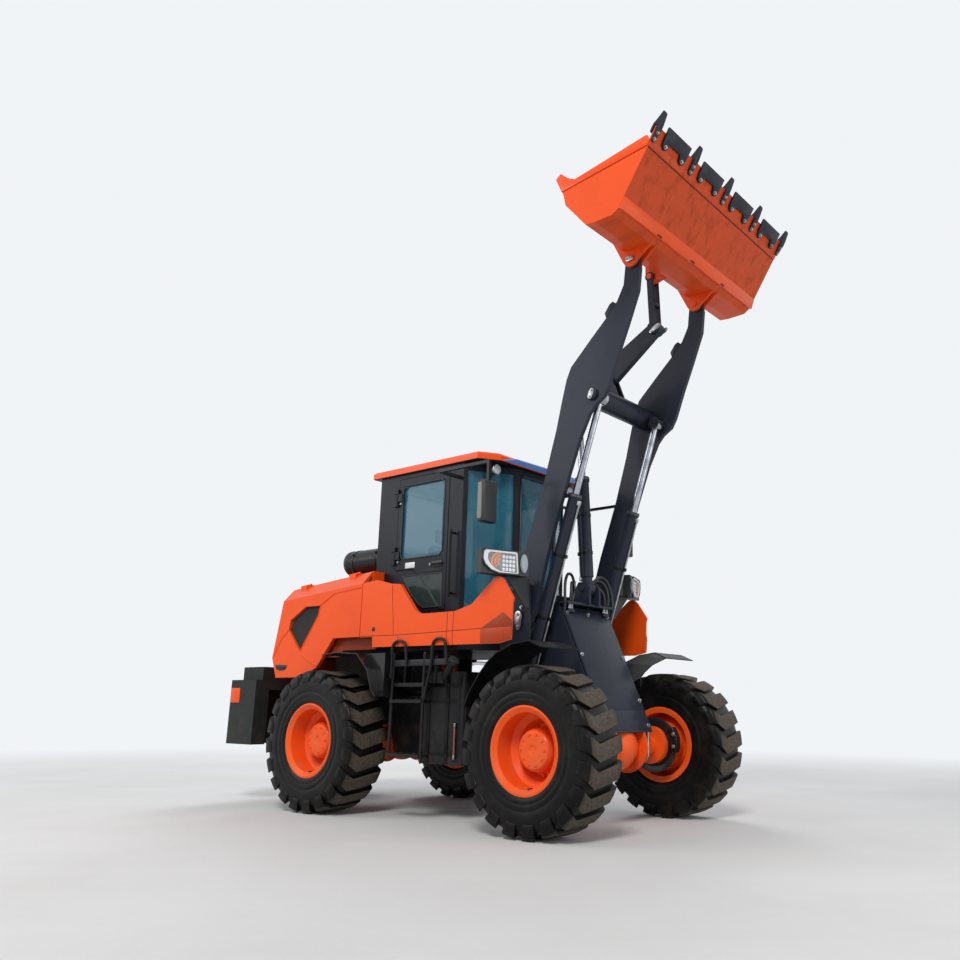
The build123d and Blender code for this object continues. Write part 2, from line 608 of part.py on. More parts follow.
def ladder():
    """Right-hand access ladder: two hooped rails, two rungs and a top step."""
    steps = []
    rails = None
    for x in (-345, 20):
        rail = bar((x, -930, 480), (x, -930, 1290), 26)
        rail += bar((x, -930, 1290), (x, -800, 1290), 26)
        rail += Pos(x, -930, 1290) * Sphere(13)
        rail += bar((x, -800, 1290), (x, -800, 1040), 26)
        rail += Pos(x, -800, 1290) * Sphere(13)
        rails = rail if rails is None else rails + rail
    for z in (500, 915):
        rails += box(-345, 20, -955, -835, z - 12, z + 12)
    rails += box(-360, 35, -925, -720.3, 1030, 1060)
    steps.append(rails)
    return steps


def headlight():
    """Right-hand headlight pod, held out from the tower by a triangular bracket."""
    pod = slab_z([(700, -1098), (757, -1100), (905, -718), (850, -690), (745, -760), (685, -1080)],
                 LIGHT_Z, LIGHT_Z + LIGHT_HIGH)
    plate = [(-TOWER_OUTER_Y - SEAT_GAP, LIGHT_Z - 222), (-TOWER_OUTER_Y - 48, LIGHT_Z - 222),
             (-860, LIGHT_Z + 5), (-TOWER_OUTER_Y - SEAT_GAP, LIGHT_Z + 5)]
    return pod + slab_x(plate, LIGHT_BRACKET_X - 8, LIGHT_BRACKET_X)


def mirror_arm():
    """Right-hand mirror on its square-tube bracket."""
    arm = box(120, 145, -960, -CAB_HALF - 0.3, 2760, 2785)
    arm += box(120, 700, -985, -960, 2760, 2785)
    arm += box(675, 700, -985, -960, 2540, 2785)
    arm += box(655, 715, -1060, -900, 2280, 2600)
    return arm


def air_cleaner():
    """Air cleaner lying on the hood behind the cab."""
    can = bar((-1560, -430, 2210), (-1000, -430, 2210), 240)
    can += bar((-1610, -430, 2210), (-1560, -430, 2210), 150)
    can += bar((-1650, -430, 2210), (-1610, -430, 2210), 40)
    for x0 in (-1500, -1150):
        x1 = x0 + 60
        can += slab_y([(x0, hood_top(x0) + SEAT_GAP), (x1, hood_top(x1) + SEAT_GAP), (x1, 2130), (x0, 2130)],
                      -480, -380)
    return can


def engine_block():
    """Engine and gearbox as one heavy block in its bay."""
    block = box(-1900, -1000, -290, 290, 870, 1500)
    block += box(-1640, -1500, -330, 330, 700.3, 870)
    return block


def cylinder(base, eye, y, barrel, rod, barrel_end, piston, rod_end, base_half, pin):
    """Hydraulic cylinder in the plane y: barrel with its base eye, rod with its piston, and the way out.

    Lengths run from the base pin: the barrel to barrel_end, the piston's place, and the rod to rod_end
    short of its own eye.
    """
    b = Vector(base[0], y, base[1])
    e = Vector(eye[0], y, eye[1])
    way = (e - b).normalized()
    bore = barrel - 2 * CYL_WALL

    def tube(d0, d1, diameter):
        return Solid.make_cylinder(diameter / 2, d1 - d0, Plane(origin=b + way * d0, z_dir=way))

    foot = barrel * 0.9
    body = tube(foot, barrel_end, barrel) - tube(foot + 20, barrel_end + 5, bore)
    body += tube(barrel_end, barrel_end + 40, barrel + 12) - tube(barrel_end - 5, barrel_end + 45, rod + 2 * RUN_GAP)
    body += tube(barrel * 0.3, foot + 2, barrel * 0.8) & box(-9000, 9000, y - base_half, y + base_half, -9000, 9000)
    body += pin_y(base[0], base[1], y - base_half, y + base_half, barrel)
    body -= pin_y(base[0], base[1], y - base_half - 5, y + base_half + 5, pin)
    stick = tube(piston, (e - b).length - rod_end, rod) + tube(piston, piston + 50, bore - 2 * RUN_GAP)
    return body, stick, way


def lift_cylinder(side):
    """Lift cylinder between the front frame and a boom arm, its rod eye beside the arm."""
    y = side * LIFT_Y
    barrel, rod, way = cylinder((LIFT_BASE_X, LIFT_BASE_Z), (ROD_X, ROD_Z), y, LIFT_BARREL, LIFT_ROD,
                                barrel_end=1460, piston=1330, rod_end=20, base_half=40, pin=LIFT_PIN)
    rod += pin_y(ROD_X, ROD_Z, y - 40, y + 40, 110)
    return barrel, rod


def tilt_cylinder():
    """Cylinder that turns the bell crank, its rod ending in a fork round the crank's rear end."""
    barrel, rod, way = cylinder((TILT_BASE_X, TILT_BASE_Z), CRANK_REAR, 0, TILT_BARREL, TILT_ROD,
                                barrel_end=930, piston=640, rod_end=FORK, base_half=50, pin=LIFT_PIN)
    x, z = CRANK_REAR
    end = Vector(x, 0, z) - way * FORK
    for s in (-1, 1):
        y0, y1 = s * 46 - 10, s * 46 + 10
        rod += pin_y(x, z, y0, y1, 110)
        rod += slab_y([(x - 45, z), (x + 45, z), (end.X + 45, end.Z - 10), (end.X - 45, end.Z - 10)], y0, y1)
    rod += box(end.X - 45, end.X + 45, -56, 56, end.Z - 30, end.Z)
    return barrel, rod


def steering_cylinder(side):
    """Steering cylinder between the rear and the front body, lying flat with upright pins."""
    y = side * STEER_Y
    barrel, rod, way = cylinder((STEER_BASE_X, y), (STEER_ROD_X, y), 0, STEER_BARREL, STEER_ROD,
                                barrel_end=440, piston=260, rod_end=10, base_half=STEER_EYE / 2, pin=40)
    rod += pin_y(STEER_ROD_X, y, -STEER_EYE / 2, STEER_EYE / 2, 80)
    lay = Pos(0, 0, STEER_Z) * Rot(X=-90)
    return lay * barrel, lay * rod


# ---------------------------------------------------------------- front body
def front_frame():
    """Tower that carries the boom, on a box frame with the front half of the steering pivot."""
    low = [(340, 430), (340, 1070), (640, 1180), (660, 1180), (660, 700), (560, 430)]
    frame = slab_y(low, 230, 250)
    frame += flip(frame)
    inner = [(640, 725), (640, 1180), (500, 1290), (500, 1830), (800, 1830), (925, 1655), (1350, 725)]
    plate = slab_y(inner, 315, 335)
    frame += plate + flip(plate)
    outer = [(520, 1300), (520, 1830), (800, 1830), (800, 1340), (780, 1050), (600, 1050), (600, 1240)]
    plate = slab_y(outer, TOWER_OUTER_Y - TOWER_PLATE, TOWER_OUTER_Y)
    frame += plate + flip(plate)
    frame += box(640, 660, -335, 335, 700, 1290)
    for s in (-1, 1):
        frame += box(600, 612, s * 443.5 - 128.5, s * 443.5 + 128.5, 1050, 1240)
        frame += box(500, 520, s * 443.5 - 128.5, s * 443.5 + 128.5, 1290, 1500)
        frame += box(500, 640, s * 443.5 - 128.5, s * 443.5 + 128.5, 1240, 1300)
    frame += box(500, 520, -335, 335, 1290, 1830)
    for s in (-1, 1):
        frame += box(FRONT_X - 90, FRONT_X + 90, s * 280, s * 380, HUB_Z + 130, HUB_Z + 170)
    frame += box(1000, 1020, -335, 335, 725, 900)
    for z in (PIVOT_LOW_Z, PIVOT_HIGH_Z):
        lug = slab_z([(-60, 60), (60, 95), (240, 250), (400, 250), (400, -250), (240, -250), (60, -95), (-60, -60)],
                     z - LUG / 2, z + LUG / 2)
        frame += lug
        frame -= bar((0, 0, z - 100), (0, 0, z + 100), PIVOT_PIN)
    frame += box(330, 350, -250, 250, 430, 900)
    frame -= bar((300, 0, HUB_Z), (700, 0, HUB_Z), SHAFT_HOLE)
    for s in (-1, 1):
        frame -= pin_y(FOOT_X, FOOT_Z, s * 300, s * 600, FOOT_PIN)
        frame -= pin_y(LIFT_BASE_X, LIFT_BASE_Z, s * 300, s * 600, 50)
        for z in steer_ears():
            z0, z1 = z - STEER_EAR / 2, z + STEER_EAR / 2
            frame += box(STEER_ROD_X, 335, s * STEER_Y - 35, s * STEER_Y + 20, z0, z1)
            frame += bar((STEER_ROD_X, s * STEER_Y, z0), (STEER_ROD_X, s * STEER_Y, z1), 70)
    for s in (-1, 1):
        ear = slab_y([(860, 1700), (860, 1800), (915, 1890), (995, 1890), (1030, 1840), (1030, 1700)],
                     s * 68 - 11, s * 68 + 11)
        frame += ear - pin_y(TILT_BASE_X, TILT_BASE_Z, -200, 200, 50)
    frame += box(780, 1000, -335, 335, 1690, 1710)
    return frame


def front_cover():
    """Sloping guard plate between the tower's inner sides."""
    plate = slab_y([(895, 1660), (935, 1668), (1375, 700), (1366, 696), (929, 1656), (897, 1650)],
                   SEAT_GAP - COVER_HALF, COVER_HALF - SEAT_GAP)
    return plate


def front_fender():
    """Right-hand mudguard over the front wheel."""
    path = [(598, 880), (650, 990), (735, 1108), (820, 1200), (905, 1266), (1060, 1327), (1215, 1345), (1330, 1296)]
    guard = slab_y(thicken(path, 8), -1075, -620)
    guard += box(735, 785, -622, -TOWER_OUTER_Y - SEAT_GAP, 1108, 1140)
    return guard


def thicken(points, wall):
    """Closed outline of a plate: the given outer line, and the same line set in by the wall."""
    inner = []
    for k, (x, z) in enumerate(points):
        before = points[max(k - 1, 0)]
        after = points[min(k + 1, len(points) - 1)]
        ways = []
        for a, b in ((before, (x, z)), ((x, z), after)):
            d = math.hypot(b[0] - a[0], b[1] - a[1])
            if d > 0:
                ways.append(((b[1] - a[1]) / d, -(b[0] - a[0]) / d))
        nx = sum(w[0] for w in ways) / len(ways)
        nz = sum(w[1] for w in ways) / len(ways)
        k2 = nx * nx + nz * nz
        inner.append((x + wall * nx / k2, z + wall * nz / k2))
    return list(points) + inner[::-1]


# ---------------------------------------------------------------- boom
ARM_OUTLINE = [  # (u, v): along the boom and across it
    (-40, 95), (300, 165), (594, 189), (1103, 205), (1524, 241), (1778, 276), (1950, 296), (2060, 290), (2310, 177),
    (2520, 78), (2660, 25), (2800, 10), (2960, 52), (BOOM_LENGTH, 62), (BOOM_LENGTH + 20, -58), (2960, -96),
    (2772, -146), (2500, -146), (2225, -141), (1970, -144), (1880, -130), (1800, -70), (1720, -40), (1500, -18),
    (1150, -22), (600, -45), (200, -85), (0, -95)]


def boom_arm():
    """Left-hand arm plate with bosses at its three pins."""
    arm = slab_y([on_boom(u, v) for u, v in ARM_OUTLINE], ARM_Y - ARM_PLATE / 2, ARM_Y + ARM_PLATE / 2)
    arm += pin_y(FOOT_X, FOOT_Z, ARM_Y - 30, ARM_Y + 30, 190)
    arm += pin_y(BUCKET_X, BUCKET_Z, ARM_Y - ARM_PLATE / 2, ARM_Y + ARM_PLATE / 2, 124)
    arm -= pin_y(FOOT_X, FOOT_Z, 400, 600, FOOT_PIN)
    arm -= pin_y(BUCKET_X, BUCKET_Z, 400, 600, BUCKET_PIN)
    arm += pin_y(ROD_X, ROD_Z, ARM_Y, ARM_Y + 32, 80)
    return arm


def foot_pins():
    """Pins that hold the boom's feet in the tower."""
    pins = []
    for s in (-1, 1):
        pins.append(pin_y(FOOT_X, FOOT_Z, s * 320, s * 586, FOOT_PIN - 2 * RUN_GAP))
        pins.append(pin_y(LIFT_BASE_X, LIFT_BASE_Z, s * 320, s * 580, 50 - 2 * RUN_GAP))
    pins.append(pin_y(TILT_BASE_X, TILT_BASE_Z, -90, 90, 50 - 2 * RUN_GAP))
    return pins


def cross_tube():
    """Tube that ties the arms together, with the ears of the bell crank."""
    x, z = on_boom(CROSS_U, CROSS_V)
    reach = ARM_Y - ARM_PLATE / 2
    tube = pin_y(x, z, -reach, reach, CROSS_TUBE)
    px, pz = CRANK_PIVOT
    for s in (-1, 1):
        ear = slab_y([(x - 80, z + 20), (px - 70, pz - 10), (px - 50, pz + 60), (px + 50, pz + 60), (px + 80, pz - 20),
                      (x + 90, z + 10)], s * 47 - 10, s * 47 + 10)
        tube += ear
    tube += pin_y(px, pz, -64, 64, CRANK_PIN - 2 * RUN_GAP)
    return tube


def bell_crank():
    """Bent lever on the cross tube that turns the bucket."""
    (rx, rz), (px, pz), (fx, fz) = CRANK_REAR, CRANK_PIVOT, CRANK_FRONT
    lever = slab_y([(rx - 30, rz + 50), (px - 60, pz + 110), (px + 60, pz + 125), (fx - 20, fz + 58), (fx + 30, fz - 52),
                    (px + 110, pz - 80), (px - 20, pz - 95), (rx + 10, rz - 58)], -30, 30)
    lever += pin_y(rx, rz, -30, 30, 116) + pin_y(fx, fz, -30, 30, 116) + pin_y(px, pz, -30, 30, 210)
    lever -= pin_y(px, pz, -100, 100, CRANK_PIN)
    return lever


def bucket_link():
    """Link from the crank to the bucket: two straps either side, tied in the middle."""
    (fx, fz), (bx, bz) = CRANK_FRONT, LINK_PIN
    a = math.atan2(bz - fz, bx - fx)
    nx, nz = -math.sin(a) * LINK_HALF, math.cos(a) * LINK_HALF
    link = None
    for s in (-1, 1):
        y0, y1 = s * 45 - 9, s * 45 + 9
        strap = slab_y([(fx + nx, fz + nz), (fx - nx, fz - nz), (bx - nx, bz - nz), (bx + nx, bz + nz)], y0, y1)
        strap += pin_y(fx, fz, y0, y1, 110) + pin_y(bx, bz, y0, y1, 3 * LINK_HALF)
        strap -= pin_y(bx, bz, y0 - 5, y1 + 5, BUCKET_PIN)
        link = strap if link is None else link + strap
    mx, mz = (fx + bx) / 2, (fz + bz) / 2
    link += pin_y(mx, mz, -40, 40, 60)
    return link


# ---------------------------------------------------------------- bucket
BUCKET_LINE = [  # outer face of the shell from its cutting edge round to the lip, from the hinge pin
    (593, 678), (241, 120), (186, 82), (21, 76), (-64, 84), (-259, 320), (-281, 420), (-334, 600)]
TEETH = 5
TOOTH_SPAN = 1078


def at_pin(points):
    return [(BUCKET_X + x, BUCKET_Z + z) for x, z in points]


def floor_point(s, t):
    """Place on the bucket's floor: s from its heel to its edge, t outwards."""
    (ex, ez), (hx, hz) = BUCKET_LINE[0], BUCKET_LINE[1]
    d = math.hypot(ex - hx, ez - hz)
    fx, fz = (ex - hx) / d, (ez - hz) / d
    return (BUCKET_X + hx + s * fx + t * fz, BUCKET_Z + hz + s * fz - t * fx)


def bucket():
    """Welded shell with its side plates, cutting edge, hinge ears and link lug."""
    shell = slab_y(at_pin(thicken(BUCKET_LINE, BUCKET_PLATE)), -BUCKET_HALF, BUCKET_HALF)
    corner = [floor_point(540, -BUCKET_PLATE), floor_point(540, 0)]
    side = corner[::-1] + at_pin(BUCKET_LINE[1:-1] + [(-358, 583), (-308, 620), (-237, 554), (-167, 518), (500, 636)])
    for s in (-1, 1):
        y = s * (BUCKET_HALF - BUCKET_PLATE / 2)
        shell += slab_y(side, y - BUCKET_PLATE / 2, y + BUCKET_PLATE / 2)
        for off in (-(ARM_PLATE / 2 + EYE_GAP + EAR / 2), ARM_PLATE / 2 + EYE_GAP + EAR / 2):
            y = s * (ARM_Y + off)
            ear = slab_y(at_pin([(-200, 255), (-66, -20), (0, -66), (66, -20), (232, 112), (186, 92), (21, 86),
                                 (-60, 92), (-195, 258)]), y - EAR / 2, y + EAR / 2)
            ear += pin_y(BUCKET_X, BUCKET_Z, y - EAR / 2, y + EAR / 2, 132)
            shell += ear - pin_y(BUCKET_X, BUCKET_Z, y - 50, y + 50, BUCKET_PIN)
    lx, lz = LINK_PIN
    lug = slab_y([(lx - 52, lz + 10), (lx - 30, lz - 45), (lx + 30, lz - 45), (BUCKET_X, BUCKET_Z + 82),
                  (BUCKET_X - 62, BUCKET_Z + 88), (BUCKET_X - 195, BUCKET_Z + 250)], -30, 30)
    shell += lug + pin_y(lx, lz, -30, 30, 3 * LINK_HALF)
    shell -= pin_y(lx, lz, -60, 60, BUCKET_PIN)
    return shell


def bucket_pins():
    pins = []
    for s in (-1, 1):
        pins.append(pin_y(BUCKET_X, BUCKET_Z, s * (ARM_Y - 60), s * (ARM_Y + 60), BUCKET_PIN - 2 * RUN_GAP))
    pins.append(pin_y(LINK_PIN[0], LINK_PIN[1], -62, 62, BUCKET_PIN - 2 * RUN_GAP))
    return pins


def teeth():
    """Five bolted teeth across the cutting edge."""
    profile = [(545, 0.3), (545, 18), (650, 32), (775, 8), (778, 0), (662, -52), (580, -46), (580, -BUCKET_PLATE - 0.3),
               (661, -BUCKET_PLATE - 0.3), (661, 0.3)]
    row = []
    for k in range(TEETH):
        y = -TOOTH_SPAN + k * 2 * TOOTH_SPAN / (TEETH - 1)
        row.append(slab_y([floor_point(s, t) for s, t in profile], y - 30, y + 30))
    return row


def bolt_on_edges():
    """Four wear plates bolted between the teeth."""
    profile = [(560, 0.3), (560, 20), (690, 20), (712, 0.3)]
    step = 2 * TOOTH_SPAN / (TEETH - 1)
    row = []
    for k in range(TEETH - 1):
        y = -TOOTH_SPAN + (k + 0.5) * step
        row.append(slab_y([floor_point(s, t) for s, t in profile], y - step / 2 + 90, y + step / 2 - 90))
    return row


# ---------------------------------------------------------------- write
TIP_X = floor_point(775, 8)[0]
SHIFT_X = -(TAIL_X + TIP_X) / 2


def save(name, pieces):
    """Write one sub-part, moved so that the whole length is centred on X = 0."""
    if not isinstance(pieces, (list, tuple)):
        pieces = [pieces]
    solids = []
    for piece in pieces:
        solids += [Pos(SHIFT_X, 0, 0) * s for s in piece.solids()]
    export_step(Compound(solids) if len(solids) > 1 else solids[0], f"parts/{name}.step")


def main():
    os.makedirs("parts", exist_ok=True)
    for end, x in (("front", FRONT_X), ("rear", REAR_X)):
        for name, side in (("left", 1), ("right", -1)):
            save(f"{end}_{name}_tyre", tyre(x, side))
            save(f"{end}_{name}_rim", rim(x, side))
        save(f"{end}_axle", axle(x))
    save("rear_drive_shaft", rear_shaft())
    save("front_drive_shaft", front_shaft())
    save("rear_frame", [rear_frame(), *pivot_pins()])
    save("counterweight", counterweight())
    save("engine_block", engine_block())
    save("hood", hood())
    save("rear_grille", rear_grille())
    save("rear_lamps", both(rear_lamp()))
    save("cab_frame", cab_frame())
    save("cab_windows", cab_windows())
    save("work_lights", [p for lamp in work_lights() for p in both(lamp)])
    save("grab_bars", both(grab_bar()))
    save("cab_roof", roof())
    save("sun_visor", sun_visor())
    save("driver_seat", seat())
    save("steering_column", steering_column())
    save("air_cleaner", air_cleaner())
    save("side_panels", both(side_panel()))
    save("rear_fenders", both(rear_fender()))
    save("side_tanks", both(tank()))
    save("access_ladders", [p for step in ladder() for p in both(step)])
    save("headlights", both(headlight()))
    save("mirrors", both(mirror_arm()))
    for name, turn in (("right", lambda s: s), ("left", flip)):
        save(f"{name}_engine_door", turn(engine_door() + side_grille()))
        save(f"{name}_cab_door", turn(cab_door()))
        save(f"{name}_door_glass", [turn(g) for g in door_glass()])
    save("front_frame", [front_frame(), *foot_pins()])
    save("front_cover", front_cover())
    save("front_fenders", both(front_fender()))
    save("boom_arms", both(boom_arm()))
    save("boom_cross_tube", cross_tube())
    save("bell_crank", bell_crank())
    save("bucket_link", bucket_link())
    save("bucket", [bucket(), *bucket_pins()])
    save("bucket_teeth", teeth())
    save("bolt_on_edges", bolt_on_edges())
    for name, side in (("left", 1), ("right", -1)):
        for kind, make in (("lift", lift_cylinder), ("steering", steering_cylinder)):
            barrel, rod = make(side)
            save(f"{name}_{kind}_barrel", barrel)
            save(f"{name}_{kind}_rod", rod)
    barrel, rod = tilt_cylinder()
    save("tilt_barrel", barrel)
    save("tilt_rod", rod)


main()
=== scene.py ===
# %% [markdown]
# # A wheel loader, dressed in steel, rubber and glass
#
# A wheel loader is two short vehicles joined by an upright hinge. The rear half
# carries the engine, the cab and the counterweight. The front half carries the
# tower, the arms and the bucket. The moving skeleton is already packed, so this
# lesson gives it tyres with real lugs, paint, glass, lamps, bolts and welds.
# Every place below is counted in millimetres from the steering hinge, the
# machine's middle and the ground, and one helper turns that into metres.

# %% Load the frame
import math

import bpy
from mathutils import Matrix, Vector


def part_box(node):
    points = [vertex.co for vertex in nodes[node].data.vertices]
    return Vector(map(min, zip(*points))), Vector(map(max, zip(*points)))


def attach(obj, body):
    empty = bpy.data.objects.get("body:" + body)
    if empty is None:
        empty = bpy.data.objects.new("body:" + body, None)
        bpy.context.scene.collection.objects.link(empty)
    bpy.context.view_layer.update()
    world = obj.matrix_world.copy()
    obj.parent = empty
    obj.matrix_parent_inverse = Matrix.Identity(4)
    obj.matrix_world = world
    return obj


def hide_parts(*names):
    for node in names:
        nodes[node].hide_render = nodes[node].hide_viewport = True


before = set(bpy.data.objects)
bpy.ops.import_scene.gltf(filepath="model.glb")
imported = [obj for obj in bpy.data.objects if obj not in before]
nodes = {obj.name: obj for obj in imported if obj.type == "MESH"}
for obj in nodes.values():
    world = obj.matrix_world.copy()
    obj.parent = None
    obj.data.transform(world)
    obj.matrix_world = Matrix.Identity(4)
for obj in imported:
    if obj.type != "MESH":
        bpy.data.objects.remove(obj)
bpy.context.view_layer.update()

# %% [markdown]
# The two rims tell where the axles are, and the steering hinge is half-way
# between them. So the hinge's place is measured from the frame instead of being
# typed in, and every later number keeps its meaning if the frame moves.

# %% Where things are
def middle(node):
    """Centre of a node's box."""
    low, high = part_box(node)
    return (low + high) / 2


HINGE_X = (middle("front_right_rim").x + middle("rear_right_rim").x) / 2
AXLE_Z = middle("front_right_rim").z * 1000
AXLE_X = (middle("front_right_rim").x - HINGE_X) * 1000


def at(x, y, z):
    """Millimetres from hinge, middle and ground, as a place in metres."""
    return Vector((HINGE_X + x / 1000, y / 1000, z / 1000))


print("hinge at", round(HINGE_X, 4), "axles at +-", round(AXLE_X, 1), "height", round(AXLE_Z, 1))

# %% [markdown]
# The camera stands low on the machine's front right, so that the raised bucket
# towers over it. Its lens is a short one, so near parts loom large, and a small
# shift sets where the machine stands in the frame. The camera is made first,
# because every later choice of detail depends on how near it stands.

# %% The camera
CAMERA_TURN = math.radians(37.699)
CAMERA_PITCH = math.radians(14.713)
CAMERA_ROLL = math.radians(0.602)
CAMERA_PLACE = Vector((HINGE_X + 5.356, -6.063, 0.8795))
CAMERA_LENS = 33.58
CAMERA_SHIFT = (-0.0854, -0.0080)
ahead = Vector((
    -math.sin(CAMERA_TURN) * math.cos(CAMERA_PITCH),
    math.cos(CAMERA_TURN) * math.cos(CAMERA_PITCH),
    math.sin(CAMERA_PITCH),
))
level_right = Vector((math.cos(CAMERA_TURN), math.sin(CAMERA_TURN), 0))
level_up = level_right.cross(ahead)
right = math.cos(CAMERA_ROLL) * level_right + math.sin(CAMERA_ROLL) * level_up
up = math.cos(CAMERA_ROLL) * level_up - math.sin(CAMERA_ROLL) * level_right
camera = bpy.data.objects.new("camera", bpy.data.cameras.new("camera"))
bpy.context.scene.collection.objects.link(camera)
camera.matrix_world = Matrix((
    (right.x, up.x, -ahead.x, CAMERA_PLACE.x),
    (right.y, up.y, -ahead.y, CAMERA_PLACE.y),
    (right.z, up.z, -ahead.z, CAMERA_PLACE.z),
    (0, 0, 0, 1),
))
camera.data.lens = CAMERA_LENS
camera.data.shift_x, camera.data.shift_y = CAMERA_SHIFT
camera.data.clip_end = 200
bpy.context.scene.camera = camera
print("camera at", [round(v, 3) for v in camera.location])

# %% [markdown]
# A plain pale floor and a pale world stand in for the yard. The world is seen at
# full brightness but lights the machine with less, so shadows keep some depth. The
# lamps are large and soft. The key stands high and far off on the front right. One
# fills from the rear right, one lights the back from the rear left, and a weak one
# stands in front, so no side of the machine is black.

# %% Floor, world and lamps
bpy.ops.object.select_all(action="DESELECT")
bpy.ops.mesh.primitive_circle_add(vertices=96, radius=60, fill_type="NGON", location=(0, 0, 0))
floor = bpy.context.object
floor.name = "floor"

PALE = (0.88, 0.90, 0.93)


def sharp_rays(tree):
    """A socket that is 1 for camera, glossy and transmission rays, and 0 for soft light."""
    path = tree.nodes.new("ShaderNodeLightPath")
    total = path.outputs["Is Camera Ray"]
    for kind in ("Is Glossy Ray", "Is Transmission Ray"):
        add = tree.nodes.new("ShaderNodeMath")
        add.operation = "ADD"
        add.use_clamp = True
        tree.links.new(total, add.inputs[0])
        tree.links.new(path.outputs[kind], add.inputs[1])
        total = add.outputs[0]
    return total


world = bpy.data.worlds.new("studio")
bpy.context.scene.world = world
world.use_nodes = True
sky = world.node_tree
sky_light = sky.nodes["Background"]
sky_light.inputs["Color"].default_value = (0.80, 0.87, 1.0, 1)
sky_light.inputs["Strength"].default_value = 0.42
seen = sky.nodes.new("ShaderNodeBackground")
seen.inputs["Color"].default_value = (*PALE, 1)
seen.inputs["Strength"].default_value = 1.0
choose = sky.nodes.new("ShaderNodeMixShader")
sky.links.new(sharp_rays(sky), choose.inputs[0])
sky.links.new(sky_light.outputs[0], choose.inputs[1])
sky.links.new(seen.outputs[0], choose.inputs[2])
sky.links.new(choose.outputs[0], sky.nodes["World Output"].inputs["Surface"])


def lamp(name, place, target, size, power, colour=(1, 1, 1)):
    """A large square lamp that looks at a target."""
    made = bpy.data.objects.new(name, bpy.data.lights.new(name, "AREA"))
    bpy.context.scene.collection.objects.link(made)
    made.location = place
    made.rotation_euler = (Vector(target) - Vector(place)).to_track_quat("-Z", "Y").to_euler()
    made.data.size = size
    made.data.energy = power
    made.data.color = colour


lamp("key", (10.2, -16.8, 18.1), (0.3, 0, 1.8), 5.8, 3650, (1.0, 0.98, 0.95))
lamp("fill", (-8, -9, 7), (-0.5, 0, 1.5), 6, 330)
lamp("back", (-7, 8, 9), (0, 0, 1.5), 5, 520)
lamp("front", (10, 2, 3), (0.5, 0, 2), 5, 130)
bpy.context.scene.view_settings.view_transform = "Standard"
print("lamps", len(bpy.data.lights))

# %% [markdown]
# Shader maths reads best as arithmetic, so one small class wraps a socket and
# adds a Math node for each sign. A second class holds one material and makes any
# other node by its type, its settings and its inputs. With the two, a
# finish is written in a few lines and its recipe can still be read.

# %% Writing shaders as sums
class Wire:
    """A number that varies over a surface."""

    def __init__(self, finish, socket):
        self.finish, self.socket = finish, socket

    def sum(self, operation, first, second):
        return self.finish.node("ShaderNodeMath", {"operation": operation}, {0: first, 1: second})

    def __add__(self, other):
        return self.sum("ADD", self, other)

    def __mul__(self, other):
        return self.sum("MULTIPLY", self, other)

    def __sub__(self, other):
        return self.sum("SUBTRACT", self, other)

    def __rsub__(self, other):
        return self.sum("SUBTRACT", other, self)

    __radd__ = __add__
    __rmul__ = __mul__


def rgb(red, green, blue):
    """A colour picked from 0 to 255, as the linear light a shader wants."""
    parts = [c / 255 for c in (red, green, blue)]
    linear = [c / 12.92 if c <= 0.04045 else ((c + 0.055) / 1.055) ** 2.4 for c in parts]
    return (*linear, 1.0)


class Finish:
    """One material: its fixed sockets, and the nodes that vary them."""

    def __init__(self, name, **fixed):
        self.material = bpy.data.materials.new(name)
        self.material.use_nodes = True
        self.tree = self.material.node_tree
        self.shader = self.tree.nodes["Principled BSDF"]
        for key, value in fixed.items():
            self.shader.inputs[key.replace("_", " ")].default_value = value
        place = self.tree.nodes.new("ShaderNodeTexCoord")
        self.place = Wire(self, place.outputs["Object"])
        self.facing = Wire(self, place.outputs["Normal"])

    def node(self, kind, settings=None, inputs=None, output=0):
        """Adds a node: settings first, then the values or wires of its sockets."""
        made = self.tree.nodes.new(kind)
        for key, value in (settings or {}).items():
            setattr(made, key, value)
        for key, value in (inputs or {}).items():
            if isinstance(value, Wire):
                self.tree.links.new(value.socket, made.inputs[key])
            else:
                made.inputs[key].default_value = value
        return Wire(self, made.outputs[output])

    def noise(self, scale, detail=4.0, rough=0.55, place=None):
        """A cloud pattern of so many waves to the metre."""
        inputs = {"Vector": place or self.place, "Scale": scale, "Detail": detail,
                  "Roughness": rough}
        return self.node("ShaderNodeTexNoise", {}, inputs)

    def between(self, wire, low, high, out_low=0.0, out_high=1.0):
        """Runs smoothly from out_low to out_high as the wire goes from low to high."""
        inputs = {0: wire, 1: low, 2: high, 3: out_low, 4: out_high}
        return self.node("ShaderNodeMapRange", {"interpolation_type": "SMOOTHSTEP"}, inputs)

    def mix(self, factor, first, second):
        """Blends two colours."""
        settings = {"data_type": "RGBA", "clamp_factor": True}
        return self.node("ShaderNodeMix", settings, {0: factor, 6: first, 7: second}, 2)

    def axis(self, name, wire=None):
        """One axis of the place on the surface."""
        return self.node("ShaderNodeSeparateXYZ", {}, {0: wire or self.place}, "XYZ".index(name))

    def relief(self, height, depth):
        """Feeds the shader's normal with a bump that is depth metres high."""
        bump = self.node("ShaderNodeBump", {}, {"Height": height, "Distance": depth,
                                                "Strength": 1.0})
        self.feed("Normal", bump)

    def feed(self, socket, wire):
        """Lets a wire drive one of the shader's sockets."""
        self.tree.links.new(wire.socket, self.shader.inputs[socket])


print("shader helpers ready")

# %% [markdown]
# Factory paint is never one colour. The sprayed film has a faint orange-peel
# ripple, its tone wanders a little over a panel, and the yard's dust settles on
# whatever is low or faces up. One recipe makes every painted finish, and each
# finish gives its own colour, gloss and depth of ripple. Castings keep a coarse
# grain under the paint.

